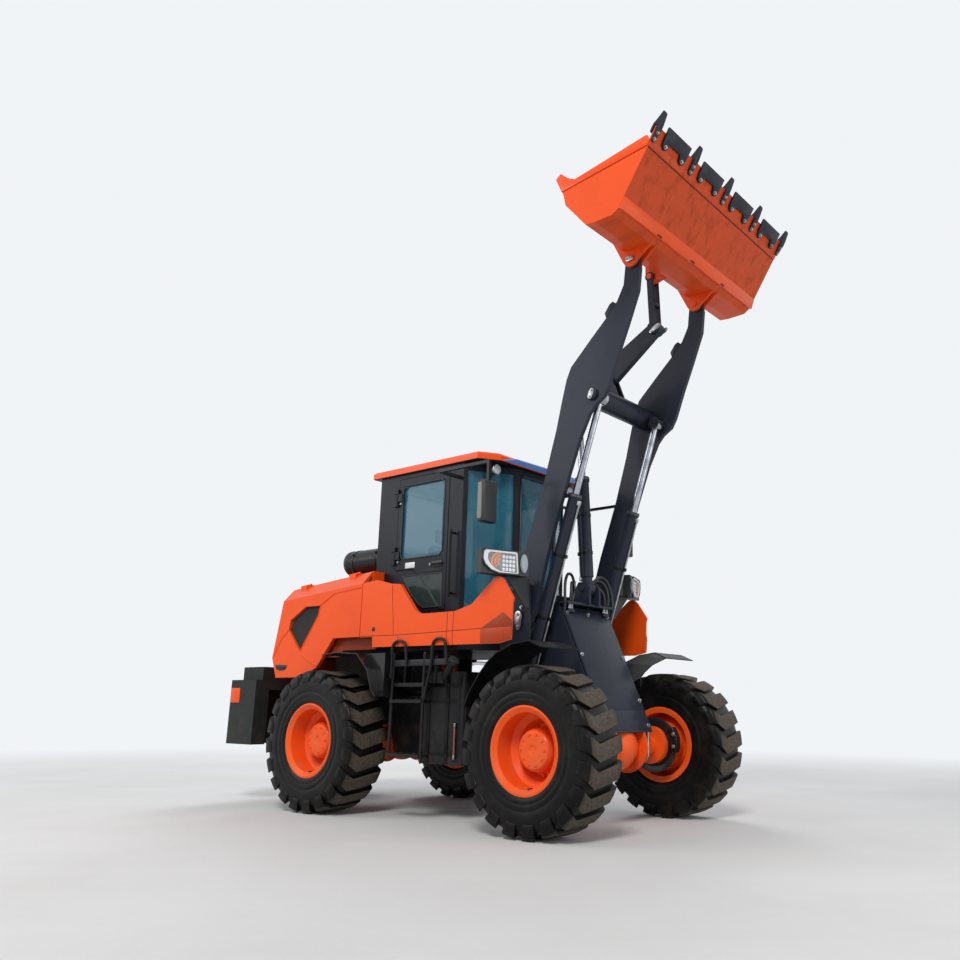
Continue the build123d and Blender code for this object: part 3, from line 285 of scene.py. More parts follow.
# %% Paint
DUST = rgb(150, 128, 104)


def paint(name, colour, shade, gloss=0.3, coat=0.6, ripple=0.00012, grain=0.0, dust=0.35):
    """Sprayed paint that wanders from colour to shade, with dust low down."""
    made = Finish(name, Coat_Roughness=0.16, Specular_IOR_Level=0.16)
    wander = made.between(made.noise(1.7, 5), 0.35, 0.68)
    blotch = made.between(made.noise(23, 3), 0.5, 0.75)
    tone = made.mix(wander * 0.55 + blotch * 0.18, colour, shade)
    low = made.between(made.axis("Z"), 0.15, 1.5, 1.0, 0.0)
    top = made.between(made.axis("Z", made.facing), 0.55, 0.98)
    film = made.between(made.noise(7.5, 8, 0.7), 0.42, 0.72)
    dirt = film * (low * dust + top * dust * 0.4)
    made.feed("Base Color", made.mix(dirt, tone, DUST))
    made.feed("Roughness", dirt * 0.5 + blotch * 0.06 + gloss)
    made.feed("Coat Weight", coat - dirt * 0.8)
    skin = made.noise(240, 2) * ripple
    if grain:
        skin = skin + made.noise(95, 4, 0.7) * grain
    made.relief(skin, 1.0)
    return made.material


body_orange = paint("body_orange", rgb(240, 84, 20), rgb(228, 75, 16), 0.36, 0.22)
axle_orange = paint("axle_orange", rgb(246, 92, 26), rgb(230, 80, 20), 0.4, 0.2, 0.0002, 0.0010,
                    0.35)
charcoal = paint("boom_charcoal", rgb(37, 41, 54), rgb(29, 32, 43), 0.42, 0.12, dust=0.08)
frame_dark = paint("frame_dark", rgb(40, 41, 45), rgb(30, 31, 35), 0.46, 0.1, dust=0.3)
weight_grey = paint("weight_grey", rgb(38, 41, 40), rgb(29, 32, 31), 0.52, 0.06, 0.0003, 0.0014,
                    0.1)
cast = paint("cast", rgb(74, 72, 70), rgb(52, 50, 48), 0.62, 0.0, 0.0003, 0.003, 0.6)
cab_dark = paint("cab_dark", rgb(26, 28, 35), rgb(20, 21, 26), 0.46, 0.08, dust=0.06)
black_metal = paint("black_metal", rgb(17, 17, 20), rgb(10, 10, 12), 0.42, 0.2, dust=0.1)
black_trim = paint("black_trim", rgb(15, 15, 17), rgb(10, 10, 11), 0.46, 0.1, dust=0.06)
mesh_grey = paint("mesh_grey", rgb(88, 85, 82), rgb(66, 64, 61), 0.5, 0.1)
guard_gloss = paint("guard_gloss", rgb(24, 23, 24), rgb(16, 15, 16), 0.22, 0.6, dust=0.12)
grille_black = paint("grille_black", rgb(24, 24, 24), rgb(12, 12, 12), 0.5, 0.1)
edge_steel = paint("edge_steel", rgb(34, 37, 48), rgb(22, 24, 30), 0.44, 0.15, 0.0003, 0.0008, 0.0)
print("paints", len(bpy.data.materials))

# %% [markdown]
# The bucket is the one part that has worked. Its side walls keep the body colour.
# Its underside is painted a browner orange as painted shade, and real scuffs dull it,
# running the way the ground slides past, from the edge to the heel. The scuffs are a
# noise stretched along that way, and the face's own direction says which faces are
# the underside.

# %% Bucket paint
SLIDE_TILT = math.radians(57.8)
UNDER_X, UNDER_Z = 0.846, 0.533
bucket_paint = Finish("bucket_orange", Coat_Roughness=0.2, Specular_IOR_Level=0.18)
wander = bucket_paint.between(bucket_paint.noise(1.9, 5), 0.35, 0.68)
along_slide = {"Vector": bucket_paint.place, "Rotation": (0, SLIDE_TILT, 0), "Scale": (1.6, 13, 10)}
slide = bucket_paint.node("ShaderNodeMapping", {}, along_slide)
scuff = bucket_paint.between(bucket_paint.noise(1.0, 6, 0.65, slide), 0.47, 0.7)
face_x = bucket_paint.axis("X", bucket_paint.facing)
face_z = bucket_paint.axis("Z", bucket_paint.facing)
under = bucket_paint.between(face_x * UNDER_X - face_z * UNDER_Z, 0.1, 0.8)
worn = scuff * (under * 0.42 + 0.02)
# Downward faces are mixed towards a browner orange. This is painted shade, with some random tone
# from the wander noise.
shade = bucket_paint.mix(under * 0.75 + wander * 0.18, rgb(240, 82, 24), rgb(200, 74, 28))
bucket_paint.feed("Base Color", bucket_paint.mix(worn, shade, rgb(134, 60, 34)))
bucket_paint.feed("Roughness", worn * 0.3 + under * 0.14 + 0.34)
bucket_paint.feed("Coat Weight", 0.3 - worn * 0.3 - under * 0.2)
bucket_paint.relief(bucket_paint.noise(240, 2) * 0.00012 + scuff * under * 0.0005, 1.0)
bucket_orange = bucket_paint.material
print("bucket paint ready")

# %% [markdown]
# Two places on the sheets are painted browner than the rest: the pressed-in facet at
# the nose of the side panel and the step over the rear wheel. They face the ground and
# lie in shade, so they get the body colour made deeper, as painted shade.

# %% Shaded paint
# Both colours are painted shade for surfaces that face the ground.
painted_recess_shade = paint("painted_recess_shade", rgb(150, 58, 26), rgb(132, 50, 22), 0.5, 0.1)
nose_low = paint("nose_low", rgb(178, 64, 24), rgb(164, 56, 20), 0.46, 0.12)
print("shaded paints 2")

# %% [markdown]
# Tyre rubber is black where it is new and brown where the yard's dust is trodden
# in. The dust sits on the tops of the lugs, so it follows the distance from the
# axle. The folded sum below finds the nearer axle with an absolute value, which
# lets one material serve all four wheels. Hoses and moulded plastic are dark too,
# and have a finer grain.

# %% Rubber
TREAD_DUSTY = (0.5796, 0.5848)
rubber = Finish("tyre_rubber", Specular_IOR_Level=0.16)
along = rubber.axis("X") - HINGE_X
folded = rubber.node("ShaderNodeMath", {"operation": "ABSOLUTE"}, {0: along}) - AXLE_X / 1000
height = rubber.axis("Z") - AXLE_Z / 1000
reach = rubber.node("ShaderNodeMath", {"operation": "SQRT"}, {0: folded * folded + height * height})
tread_top = rubber.between(reach, *TREAD_DUSTY)
crumbs = rubber.between(rubber.noise(38, 6, 0.7), 0.3, 0.62)
film = rubber.between(rubber.noise(5.5, 6, 0.65), 0.45, 0.75)
dusty = tread_top * (crumbs * 0.45 + 0.42) + film * 0.1
rubber.feed("Base Color", rubber.mix(dusty, rgb(14, 13, 13), rgb(96, 86, 76)))
rubber.feed("Roughness", tread_top * 0.36 + film * 0.12 + 0.36)
rubber.relief(rubber.noise(420, 3) * 0.0003 + crumbs * tread_top * 0.0008, 1.0)
tyre_rubber = rubber.material

hose = Finish("hose_rubber")
hose_film = hose.between(hose.noise(30, 4), 0.4, 0.7)
hose.feed("Base Color", hose.mix(hose_film, rgb(22, 22, 24), rgb(38, 37, 37)))
hose.feed("Roughness", hose_film * 0.15 + 0.42)
hose.relief(hose.noise(600, 2), 0.0002)
hose_rubber = hose.material

plastic = Finish("black_plastic")
cloud = plastic.between(plastic.noise(6, 4), 0.35, 0.7)
plastic.feed("Base Color", plastic.mix(cloud, rgb(30, 31, 33), rgb(40, 41, 43)))
plastic.feed("Roughness", cloud * 0.1 + 0.45)
plastic.relief(plastic.noise(900, 2), 0.00025)
black_plastic = plastic.material
print("rubber and plastic ready")

# %% [markdown]
# Chrome on a piston rod is bright and smooth, with the faintest grain, and
# zinc-plated bolts, keepers and pipes are a duller silver. Every bare metal shares
# one recipe, and only the brightness, roughness and grain change.

# %% Bare metals
def bare(name, bright, dark, rough, grain_depth, streak=90):
    """Bare metal with a fine brushed grain and a wandering tarnish."""
    made = Finish(name, Metallic=1.0)
    tarnish = made.between(made.noise(14, 5, 0.65), 0.35, 0.72)
    made.feed("Base Color", made.mix(tarnish, bright, dark))
    made.feed("Roughness", tarnish * 0.14 + rough)
    made.relief(made.noise(streak, 3), grain_depth)
    return made.material


chrome_rod = bare("chrome_rod", rgb(176, 179, 186), rgb(136, 139, 146), 0.11, 0.00002, 300)
zinc = bare("zinc_plate", rgb(178, 180, 182), rgb(134, 134, 134), 0.3, 0.00006)
dark_steel = bare("dark_steel", rgb(92, 92, 94), rgb(60, 58, 56), 0.4, 0.0002)
mirror_face = bare("mirror_face", rgb(216, 222, 226), rgb(200, 206, 212), 0.03, 0.000002)
print("metals ready")

# %% [markdown]
# Cab glass is teal and see-through. A thin pane lets light straight on, so its
# alpha is lowered instead of bending the light, which would need a closed pane.
# A faint film of dust changes the alpha and the roughness a little. The lamp
# lenses are moulded with fine ribs. The visor is a blue sheet that passes on some
# of the sky behind it, which a faint glow of its own colour stands for. A plate
# without any marks on it gets a plain white.

# %% Glass and lenses
def pane(name, colour, shade, clear, film_alpha, rough=0.04, ribs=0.0, glow=0.0):
    """A thin clear sheet; clear is its alpha, film_alpha what the dust adds."""
    made = Finish(name, Specular_IOR_Level=0.4, Emission_Strength=glow)
    dusting = made.between(made.noise(4.5, 6, 0.6), 0.4, 0.75)
    tone = made.mix(dusting * 0.6, colour, shade)
    made.feed("Base Color", tone)
    if glow:
        made.feed("Emission Color", tone)
    made.feed("Alpha", dusting * film_alpha + clear)
    made.feed("Roughness", dusting * 0.08 + rough)
    if ribs:
        settings = {"wave_type": "BANDS", "bands_direction": "Y"}
        wave = made.node("ShaderNodeTexWave", settings, {"Vector": made.place, "Scale": 55.0}, 1)
        made.relief(wave, ribs)
    else:
        made.relief(made.noise(3, 2), 0.0004)
    return made.material


tinted_glass = pane("tinted_glass", rgb(46, 112, 134), rgb(66, 128, 146), 0.56, 0.06)
blue_tint = pane("blue_tint", rgb(92, 134, 196), rgb(112, 150, 206), 0.86, 0.06, glow=0.32)
lamp_red = pane("lamp_red", rgb(196, 24, 18), rgb(150, 14, 12), 0.96, 0.04, 0.12, 0.0016)
lamp_amber = pane("lamp_amber", rgb(250, 150, 30), rgb(230, 110, 16), 0.96, 0.04, 0.1, 0.0012)
lamp_clear = pane("lamp_clear", rgb(226, 230, 232), rgb(190, 196, 200), 0.9, 0.06, 0.08, 0.0010)
gauge_red = pane("gauge_red", rgb(156, 92, 84), rgb(122, 66, 60), 0.95, 0.04, 0.15)
sign_white = paint("blank_white", rgb(232, 232, 228), rgb(214, 214, 210), 0.4, 0.3)
print("glass ready")

# %% [markdown]
# The driver sits on woven cloth. Two waves at right angles make the warp and the
# weft, each bending over the other, and a soft noise lets the pile catch
# the light unevenly. The weave reads the place on the seat, so it needs no
# unwrapped map.

# %% Seat cloth
cloth = Finish("seat_fabric", Sheen_Weight=0.35, Sheen_Roughness=0.5)
THREADS = 190.0
warp = cloth.node("ShaderNodeTexWave", {"bands_direction": "X"},
                  {"Vector": cloth.place, "Scale": THREADS}, 1)
weft = cloth.node("ShaderNodeTexWave", {"bands_direction": "Y"},
                  {"Vector": cloth.place, "Scale": THREADS}, 1)
pile = cloth.between(cloth.noise(9, 5), 0.35, 0.7)
weave = warp * (1 - weft) + weft * (1 - warp)
cloth.feed("Base Color", cloth.mix(weave * 0.5 + pile * 0.3, rgb(30, 31, 35), rgb(62, 64, 70)))
cloth.feed("Roughness", pile * 0.1 + 0.82)
cloth.relief(weave, 0.0006)
seat_fabric = cloth.material
print("seat cloth ready")

# %% [markdown]
# The floor is a pale slab with a few stains. Far from the machine it fades into the
# world's own colour, so no horizon shows behind it. Only rays that look at the
# floor see the fade, and it does not light anything.

# %% Floor slab
FADE_FROM, FADE_TO = 5.0, 14.0
slab = Finish("floor_slab")
stain = slab.between(slab.noise(0.5, 5), 0.3, 0.75)
slab.feed("Base Color", slab.mix(stain, rgb(222, 221, 218), rgb(214, 212, 208)))
slab.feed("Roughness", stain * 0.08 + 0.72)
slab.relief(slab.noise(18, 5), 0.002)
pale = slab.node("ShaderNodeEmission", {}, {"Color": (*PALE, 1), "Strength": 1.0})
away = slab.node("ShaderNodeVectorMath", {"operation": "LENGTH"}, {0: slab.place}, 1)
seen_far = slab.between(away, FADE_FROM, FADE_TO) * Wire(slab, sharp_rays(slab.tree))
fade = slab.node("ShaderNodeMixShader", {}, {0: seen_far, 2: pale})
slab.tree.links.new(slab.shader.outputs[0], fade.socket.node.inputs[1])
slab.tree.links.new(fade.socket, slab.tree.nodes["Material Output"].inputs["Surface"])
floor.data.materials.append(slab.material)
print("materials", len(bpy.data.materials))

# %% [markdown]
# Each carried-over node now takes its finish. A material slot on a CAD node can be
# changed without touching its mesh, so the whole skeleton is painted here.

# %% Paint the skeleton
FINISHES = [
    (body_orange, "cab_roof hood side_panels left_engine_door right_engine_door"),
    (bucket_orange, "bucket"),
    (axle_orange, "front_axle rear_axle front_left_rim front_right_rim rear_left_rim "
     "rear_right_rim"),
    (charcoal, "front_frame front_cover boom_arms boom_cross_tube bell_crank bucket_link "
     "tilt_barrel left_lift_barrel right_lift_barrel"),
    (frame_dark, "rear_frame left_steering_barrel right_steering_barrel front_drive_shaft "
     "rear_drive_shaft"),
    (weight_grey, "counterweight"),
    (cast, "engine_block"),
    (cab_dark, "cab_frame left_cab_door right_cab_door steering_column"),
    (guard_gloss, "rear_fenders"),
    (black_trim, "front_fenders"),
    (black_metal, "side_tanks access_ladders mirrors grab_bars air_cleaner"),
    (grille_black, "rear_grille"),
    (lamp_red, "rear_lamps"),
    (black_plastic, "headlights work_lights"),
    (tinted_glass, "cab_windows left_door_glass right_door_glass"),
    (blue_tint, "sun_visor"),
    (seat_fabric, "driver_seat"),
    (edge_steel, "bucket_teeth bolt_on_edges"),
    (chrome_rod, "left_lift_rod right_lift_rod tilt_rod left_steering_rod right_steering_rod"),
    (tyre_rubber, "front_left_tyre front_right_tyre rear_left_tyre rear_right_tyre"),
]
painted = set()
for finish, names in FINISHES:
    for name in names.split():
        nodes[name].data.materials.clear()
        nodes[name].data.materials.append(finish)
        painted.add(name)
print("painted", len(painted), "unpainted", sorted(set(nodes) - painted))

# %% [markdown]
# New pieces are modelled as a person would by hand. A primitive is added, its
# corners are put where the outline wants them, and edit mode sweeps or spins
# it. Everything is deselected first, because the loaded nodes are all selected
# and an operator acts on whatever is.

# %% Hand tools
def start(name, kind, **how):
    """Adds a primitive as the only selected object."""
    bpy.ops.object.select_all(action="DESELECT")
    getattr(bpy.ops.mesh, "primitive_" + kind + "_add")(**how)
    made = bpy.context.object
    made.name = made.data.name = name
    return made


def pick(made):
    """Makes a piece the only selected one."""
    bpy.ops.object.select_all(action="DESELECT")
    made.select_set(True)
    bpy.context.view_layer.objects.active = made


def edit_all(made):
    """Enters edit mode on a piece, with all of it selected."""
    pick(made)
    bpy.ops.object.mode_set(mode="EDIT")
    bpy.ops.mesh.select_all(action="SELECT")


def leave_edit():
    """Turns every face outwards and leaves edit mode."""
    bpy.ops.mesh.select_all(action="SELECT")
    bpy.ops.mesh.normals_make_consistent(inside=False)
    bpy.ops.object.mode_set(mode="OBJECT")


def modified(made, kind, **settings):
    """Adds a modifier to the active piece, sets it and applies it."""
    modifier = made.modifiers.new(kind.lower(), kind)
    for key, value in settings.items():
        setattr(modifier, key, value)
    bpy.ops.object.modifier_apply(modifier=modifier.name)


def swept(name, corners, by):
    """A flat outline of places in millimetres, swept by a vector in millimetres."""
    made = start(name, "circle", vertices=len(corners), fill_type="NGON")
    for vertex, corner in zip(made.data.vertices, corners):
        vertex.co = at(*corner)
    edit_all(made)
    bpy.ops.mesh.extrude_region_move(TRANSFORM_OT_translate={"value": tuple(Vector(by) / 1000)})
    leave_edit()
    return made


def plate(name, corners, y0, y1):
    """A sheet cut to an outline seen from the side."""
    return swept(name, [(x, y0, z) for x, z in corners], (0, y1 - y0, 0))


def rect(a0, a1, b0, b1):
    """The corners of a rectangle, for a plate or a slab."""
    return [(a0, b0), (a1, b0), (a1, b1), (a0, b1)]


def upright(x, y0, y1, z0, z1):
    """The corners of an upright rectangle that faces along the machine."""
    return [(x, y, z) for y, z in rect(y0, y1, z0, z1)]


def slab_up(name, corners, z0, z1):
    """A slab cut to an outline seen from above."""
    return swept(name, [(x, y, z0) for x, y in corners], (0, 0, z1 - z0))


def turned(name, profile, centre, axis=(0, 1, 0), steps=48):
    """A closed profile of (along, radius) in millimetres, spun about an axis."""
    axis = Vector(axis).normalized()
    side = axis.orthogonal().normalized()
    made = start(name, "circle", vertices=len(profile), fill_type="NOTHING")
    for vertex, (along, radius) in zip(made.data.vertices, profile):
        vertex.co = centre + (axis * along + side * radius) / 1000
    edit_all(made)
    bpy.ops.mesh.spin(steps=steps, angle=math.tau, center=centre, axis=axis)
    bpy.ops.mesh.select_all(action="SELECT")
    bpy.ops.mesh.remove_doubles(threshold=0.00002)
    bpy.ops.mesh.delete_loose(use_verts=True, use_edges=True, use_faces=False)
    leave_edit()
    return made


def tube(name, path, radius, smooth=True):
    """A round bar or pipe along a path of places in millimetres."""
    bpy.ops.object.select_all(action="DESELECT")
    curve = bpy.data.curves.new(name, "CURVE")
    curve.dimensions = "3D"
    curve.bevel_depth = radius / 1000
    curve.bevel_resolution = 3
    curve.use_fill_caps = True
    line = curve.splines.new("NURBS" if smooth else "POLY")
    line.points.add(len(path) - 1)
    for point, place in zip(line.points, path):
        point.co = (*at(*place), 1)
    if smooth:
        line.order_u = 3
        line.use_endpoint_u = True
        line.resolution_u = 5
    made = bpy.data.objects.new(name, curve)
    bpy.context.scene.collection.objects.link(made)
    pick(made)
    bpy.ops.object.convert(target="MESH")
    return bpy.context.object


def copied(made, name, move):
    """A copy with its own mesh, moved by a matrix, its faces kept outwards."""
    twin = made.copy()
    twin.data = made.data.copy()
    twin.name = twin.data.name = name
    twin.data.transform(move)
    if move.determinant() < 0:
        twin.data.flip_normals()
    bpy.context.scene.collection.objects.link(twin)
    return twin


def joined(parts, name):
    """Several pieces made one."""
    bpy.ops.object.select_all(action="DESELECT")
    for part in parts:
        part.select_set(True)
    bpy.context.view_layer.objects.active = parts[0]
    if len(parts) > 1:
        bpy.ops.object.join()
    made = bpy.context.object
    made.name = made.data.name = name
    return made


def done(made, body, finish, bevel=2.0, angle=32, segments=2):
    """Rounds the edges, smooths, paints and hangs a piece on its body."""
    pick(made)
    if bevel:
        modified(made, "BEVEL", width=bevel / 1000, segments=segments, limit_method="ANGLE",
                 angle_limit=math.radians(angle))
    bpy.ops.object.shade_smooth_by_angle(angle=math.radians(angle))
    made.data.materials.clear()
    made.data.materials.append(finish)
    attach(made, body)
    return made


MIRROR = Matrix.Scale(-1, 4, (0, 1, 0))
SIDES = (("right", -1), ("left", 1))
print("hand tools ready")

# %% [markdown]
# Bolt heads are everywhere on a machine like this, and each is a hexagon with a
# round washer under it. One is modelled at the origin and copied to each place,
# and a group of them is joined, so that a row of bolts is one tidy piece.

# %% Bolts
def bolt_pattern(size):
    """A hexagon head with its washer, size millimetres across the flats, pointing along +Z."""
    head = start("bolt_head", "cylinder", vertices=6, radius=size / 1732, depth=size * 0.62 / 1000)
    head.data.transform(Matrix.Translation((0, 0, size * 0.42 / 1000)))
    washer = start("bolt_washer", "cylinder", vertices=16, radius=size * 0.86 / 1000,
                   depth=size * 0.24 / 1000)
    whole = joined([head, washer], "bolt_pattern")
    modified(whole, "BEVEL", width=size * 0.05 / 1000, segments=1)
    return whole


def bolts(name, places, facing, size, body, finish):
    """Bolt heads at places in millimetres, all facing one way."""
    pattern = bolt_pattern(size)
    turn = Vector(facing).to_track_quat("Z", "Y").to_matrix().to_4x4()
    row = [copied(pattern, name, Matrix.Translation(at(*place)) @ turn) for place in places]
    bpy.data.objects.remove(pattern)
    made = joined(row, name)
    return done(made, body, finish, bevel=0)


def ring_of(count, radius, offset=0.0):
    """Places round a circle, as (x, z) millimetres from its centre."""
    turn = math.tau / count
    return [(radius * math.cos(k * turn + offset),
             radius * math.sin(k * turn + offset)) for k in range(count)]


print("bolt tools ready")

# %% [markdown]
# ## Tyres
#
# A loader tyre has a smooth carcass with ribs low on its wall, and twenty deep
# lugs. Each lug runs across almost the whole tread with one kink near a shoulder, so
# that it looks like a tick, and at both ends it steps down the shoulder as a block.
# The carcass is a spun profile. One lug is a small grid whose rows are set along the
# kinked line, then pushed in towards the axle, and it is copied round. The
# lugs are not mirrored from side to side, so all four tyres have the same hand.

# %% Carcass and lugs
LUGS = 20
LUG_ROOT, SHOULDER_ROOT = 0.545, 0.50
SHOULDER_FROM, WALL_FROM = 0.19, 0.15
LUG_CHAMFER, LUG_LEAST, WALL_TAPER = 3.5, 0.012, 0.93
CARCASS = [
    (-183, 302), (-194, 322), (-199, 345), (-196, 352), (-200, 360), (-202, 392), (-198, 399),
    (-203, 408), (-202.5, 440), (-201, 470), (-196, 505), (-186, 533), (-165, 550), (-120, 558),
    (-60, 561), (60, 561), (120, 558), (165, 550), (186, 533), (196, 505), (201, 470), (202.5, 440),
    (203, 408), (198, 399), (202, 392), (200, 360), (196, 352), (199, 345), (194, 322), (183, 302),
    (150, 306), (150, 330), (-150, 330), (-150, 306),
]
LUG_ROWS = [
    (-204.5, 486, 42), (-204.5, 528, 50), (-202, 531, 52), (-200, 563, 57), (-192, 574, 60),
    (-176, 582.5, 61), (-82, 586, 61), (0, 587.2, 61), (110, 586, 60), (176, 582.5, 58),
    (192, 574, 56), (200, 563, 53), (202, 531, 48), (204.5, 528, 46), (204.5, 486, 40),
]
KINK = -82


def kinked(across):
    """How far round the tread a lug's middle line lies at a place across it."""
    return (KINK - across) * 0.56 if across < KINK else (across - KINK) * 0.24


def lug_shape():
    """One lug at the front of a wheel whose centre is the origin, in metres."""
    columns = (-1.0, -0.92, 0.0, 0.92, 1.0)
    made = start("lug", "grid", x_subdivisions=len(LUG_ROWS) - 1, y_subdivisions=len(columns) - 1)
    order = sorted(made.data.vertices, key=lambda v: (round(v.co.x, 4), round(v.co.y, 4)))
    for place, vertex in enumerate(order):
        across, high, half = LUG_ROWS[place // len(columns)]
        round_by = (kinked(across) + half * columns[place % len(columns)]) / high
        high -= LUG_CHAMFER if abs(columns[place % len(columns)]) == 1 else 0
        vertex.co = (high * math.cos(round_by) / 1000, across / 1000,
                     high * math.sin(round_by) / 1000)
    edit_all(made)
    bpy.ops.mesh.extrude_region_move()
    bpy.ops.object.mode_set(mode="OBJECT")
    for vertex in made.data.vertices:
        if vertex.select:
            out = Vector((vertex.co.x, 0, vertex.co.z))
            deep = LUG_ROOT if abs(vertex.co.y) < SHOULDER_FROM else SHOULDER_ROOT
            deep = min(deep, out.length - LUG_LEAST)
            flat = WALL_TAPER if abs(vertex.co.y) > WALL_FROM else 1.0
            vertex.co = out.normalized() * deep + Vector((0, vertex.co.y * flat, 0))
    edit_all(made)
    leave_edit()
    return made


def tyre(node, body):
    """A carcass with its ring of lugs, in place of the plain tyre node."""
    centre = middle(node)
    parts = [turned("carcass", CARCASS, centre, steps=72)]
    pattern = lug_shape()
    for k in range(LUGS):
        turn = Matrix.Rotation(-math.tau * k / LUGS, 4, "Y")
        parts.append(copied(pattern, "lug", Matrix.Translation(centre) @ turn))
    bpy.data.objects.remove(pattern)
    made = done(joined(parts, node + "_lugged"), body, tyre_rubber, bevel=2.5, angle=38,
                segments=1)
    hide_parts(node)
    return made


WHEELS = [(end, side) for end in ("front", "rear") for side in ("left", "right")]
for end, side in WHEELS:
    rolled = tyre(f"{end}_{side}_tyre", f"{end}_{side}_wheel")
print("lugged tyre faces", len(rolled.data.polygons))

# %% [markdown]
# ## Wheel hubs
#
# Inside each dished rim stands a planetary hub, a large drum with a ring of bolts
# round its cover. The drum hides the end of the axle. Wheel nuts stand round its
# foot, and the rim's outer edge carries a lock ring, a step and a valve.

# %% Hubs, nuts, lock rings
HUB_FACE, NUT_FACE = 983, 818
for end, side in WHEELS:
    body = f"{end}_{side}_wheel"
    out = 1 if side == "left" else -1
    x = AXLE_X if end == "front" else -AXLE_X
    centre = at(x, 0, AXLE_Z)
    drum = turned(body + "_hub", [
        (817, 84), (817, 162), (825, 162), (828, 153), (940, 150), (952, 147), (956, 143),
        (970, 139), (980, 128), (983, 112), (984, 34), (978, 30), (978, 0), (914, 0), (914, 84),
    ], centre, (0, out, 0), steps=64)
    done(drum, body, axle_orange, bevel=2.5, angle=28)
    cover = [(x + a, out * HUB_FACE, AXLE_Z + b) for a, b in ring_of(10, 106)]
    bolts(body + "_hub_bolts", cover, (0, out, 0), 13, body, axle_orange)
    nuts = [(x + a, out * NUT_FACE, AXLE_Z + b) for a, b in ring_of(10, 181, 0.2)]
    bolts(body + "_nuts", nuts, (0, out, 0), 20, body, axle_orange)
    ring = turned(body + "_lock_ring", [
        (1052, 296), (1062, 301), (1080, 304), (1087, 312), (1087, 322), (1083, 326), (1060, 324),
        (1060, 308), (1052, 304),
    ], centre, (0, out, 0), steps=72)
    done(ring, body, axle_orange, bevel=1.5, angle=28)
    step = turned(body + "_rim_step", [
        (1002, 262), (1002, 276), (1040, 280), (1050, 296), (1056, 292), (1050, 272), (1030, 264),
    ], centre, (0, out, 0), steps=72)
    done(step, body, axle_orange, bevel=1.5, angle=28)
    valve = turned(body + "_valve", [(1030, 0), (1030, 7), (1062, 7), (1062, 5), (1078, 5),
                                     (1078, 0)], at(x + 40, 0, AXLE_Z - 252), (0, out, 0), steps=12)
    done(valve, body, dark_steel, bevel=0.6)
print("hubs", len(WHEELS))

# %% [markdown]
# ## Bucket
#
# The bucket's plain shell gets what a welder and a fitter add: borders on its side
# walls, a wear band along the heel, weld beads, forged teeth and bolts.
# Places are given along the floor from the heel, and out from it.

# %% Places on the bucket
BUCKET_PIN = (1778.69, 4380.08)
HEEL = Vector((BUCKET_PIN[0] + 241, BUCKET_PIN[1] + 120))
FLOOR_WAY = Vector((0.5335, 0.8457))
FLOOR_OUT = Vector((0.8457, -0.5335))


def on_floor(along, out):
    """(x, z) of a place on the bucket's floor, along from its heel and out from its underside."""
    return tuple(HEEL + FLOOR_WAY * along + FLOOR_OUT * out)


def on_bucket(x, z):
    """(x, z) counted from the bucket's hinge pin."""
    return (BUCKET_PIN[0] + x, BUCKET_PIN[1] + z)


print("bucket's heel at", [round(v) for v in on_floor(0, 0)])

# %% [markdown]
# Each side wall is two sheets. The upper one is a wide border that laps over the
# lower one, from the lip's hook to the cutting edge. It is cut to its outline and
# stands a few millimetres proud of the plain wall. The left one is a mirror image.

# %% Side wall borders
border = plate("right_bucket_border", [
    on_floor(500, -4), on_floor(546, -4), on_bucket(497, 632), on_bucket(-166, 514),
    on_bucket(-237, 549), on_bucket(-306, 614), on_bucket(-353, 580), on_bucket(-296, 448),
], -1085, -1099)
for made in (border, copied(border, "left_bucket_border", MIRROR)):
    done(made, "bucket", bucket_orange, bevel=3)
print("bucket borders 2")

# %% [markdown]
# A wedge-shaped wear band is welded along the heel, where the bucket slides on the
# ground. It catches the light because its face stands more upright than the floor,
# and it looks brighter also because it keeps the plain body paint while the floor
# carries painted shade. Thin seams run up the floor from it. A weld is a round bar
# along the joint with an uneven skin, and the unevenness comes from a fixed cloud
# pattern, so it is the same on every run.

# %% Wear band and welds
HALF_WIDTH = 1088
band = plate("bucket_wear_band", [on_floor(-4, 0), on_floor(3, 26), on_floor(98, 4),
                                  on_floor(99, -1)], -HALF_WIDTH, HALF_WIDTH)
done(band, "bucket", body_orange, bevel=2)
edge_plate = plate("bucket_edge_lap", [on_floor(497, -2), on_floor(503, 5), on_floor(556, 5),
                                       on_floor(558, -2)], -HALF_WIDTH, HALF_WIDTH)
done(edge_plate, "bucket", bucket_orange, bevel=2)

weld_paint = paint("weld_orange", rgb(232, 112, 66), rgb(190, 86, 50), 0.42, 0.2, 0.0006, 0.004,
                   0.2)
seam_dark = paint("seam_dark", rgb(96, 44, 28), rgb(70, 32, 22), 0.6, 0.0)
ripple = bpy.data.textures.new("weld_ripple", "CLOUDS")
ripple.noise_scale = 0.016


def bead(name, places, y, radius):
    """A weld in one upright plane: a round bar along a joint, made uneven."""
    made = tube(name, [(x, y, z) for x, z in places], radius, smooth=False)
    edit_all(made)
    bpy.ops.mesh.subdivide(number_cuts=4)
    bpy.ops.object.mode_set(mode="OBJECT")
    modified(made, "DISPLACE", texture=ripple, strength=radius * 0.7 / 1000)
    done(made, "bucket", weld_paint, bevel=0, angle=60)


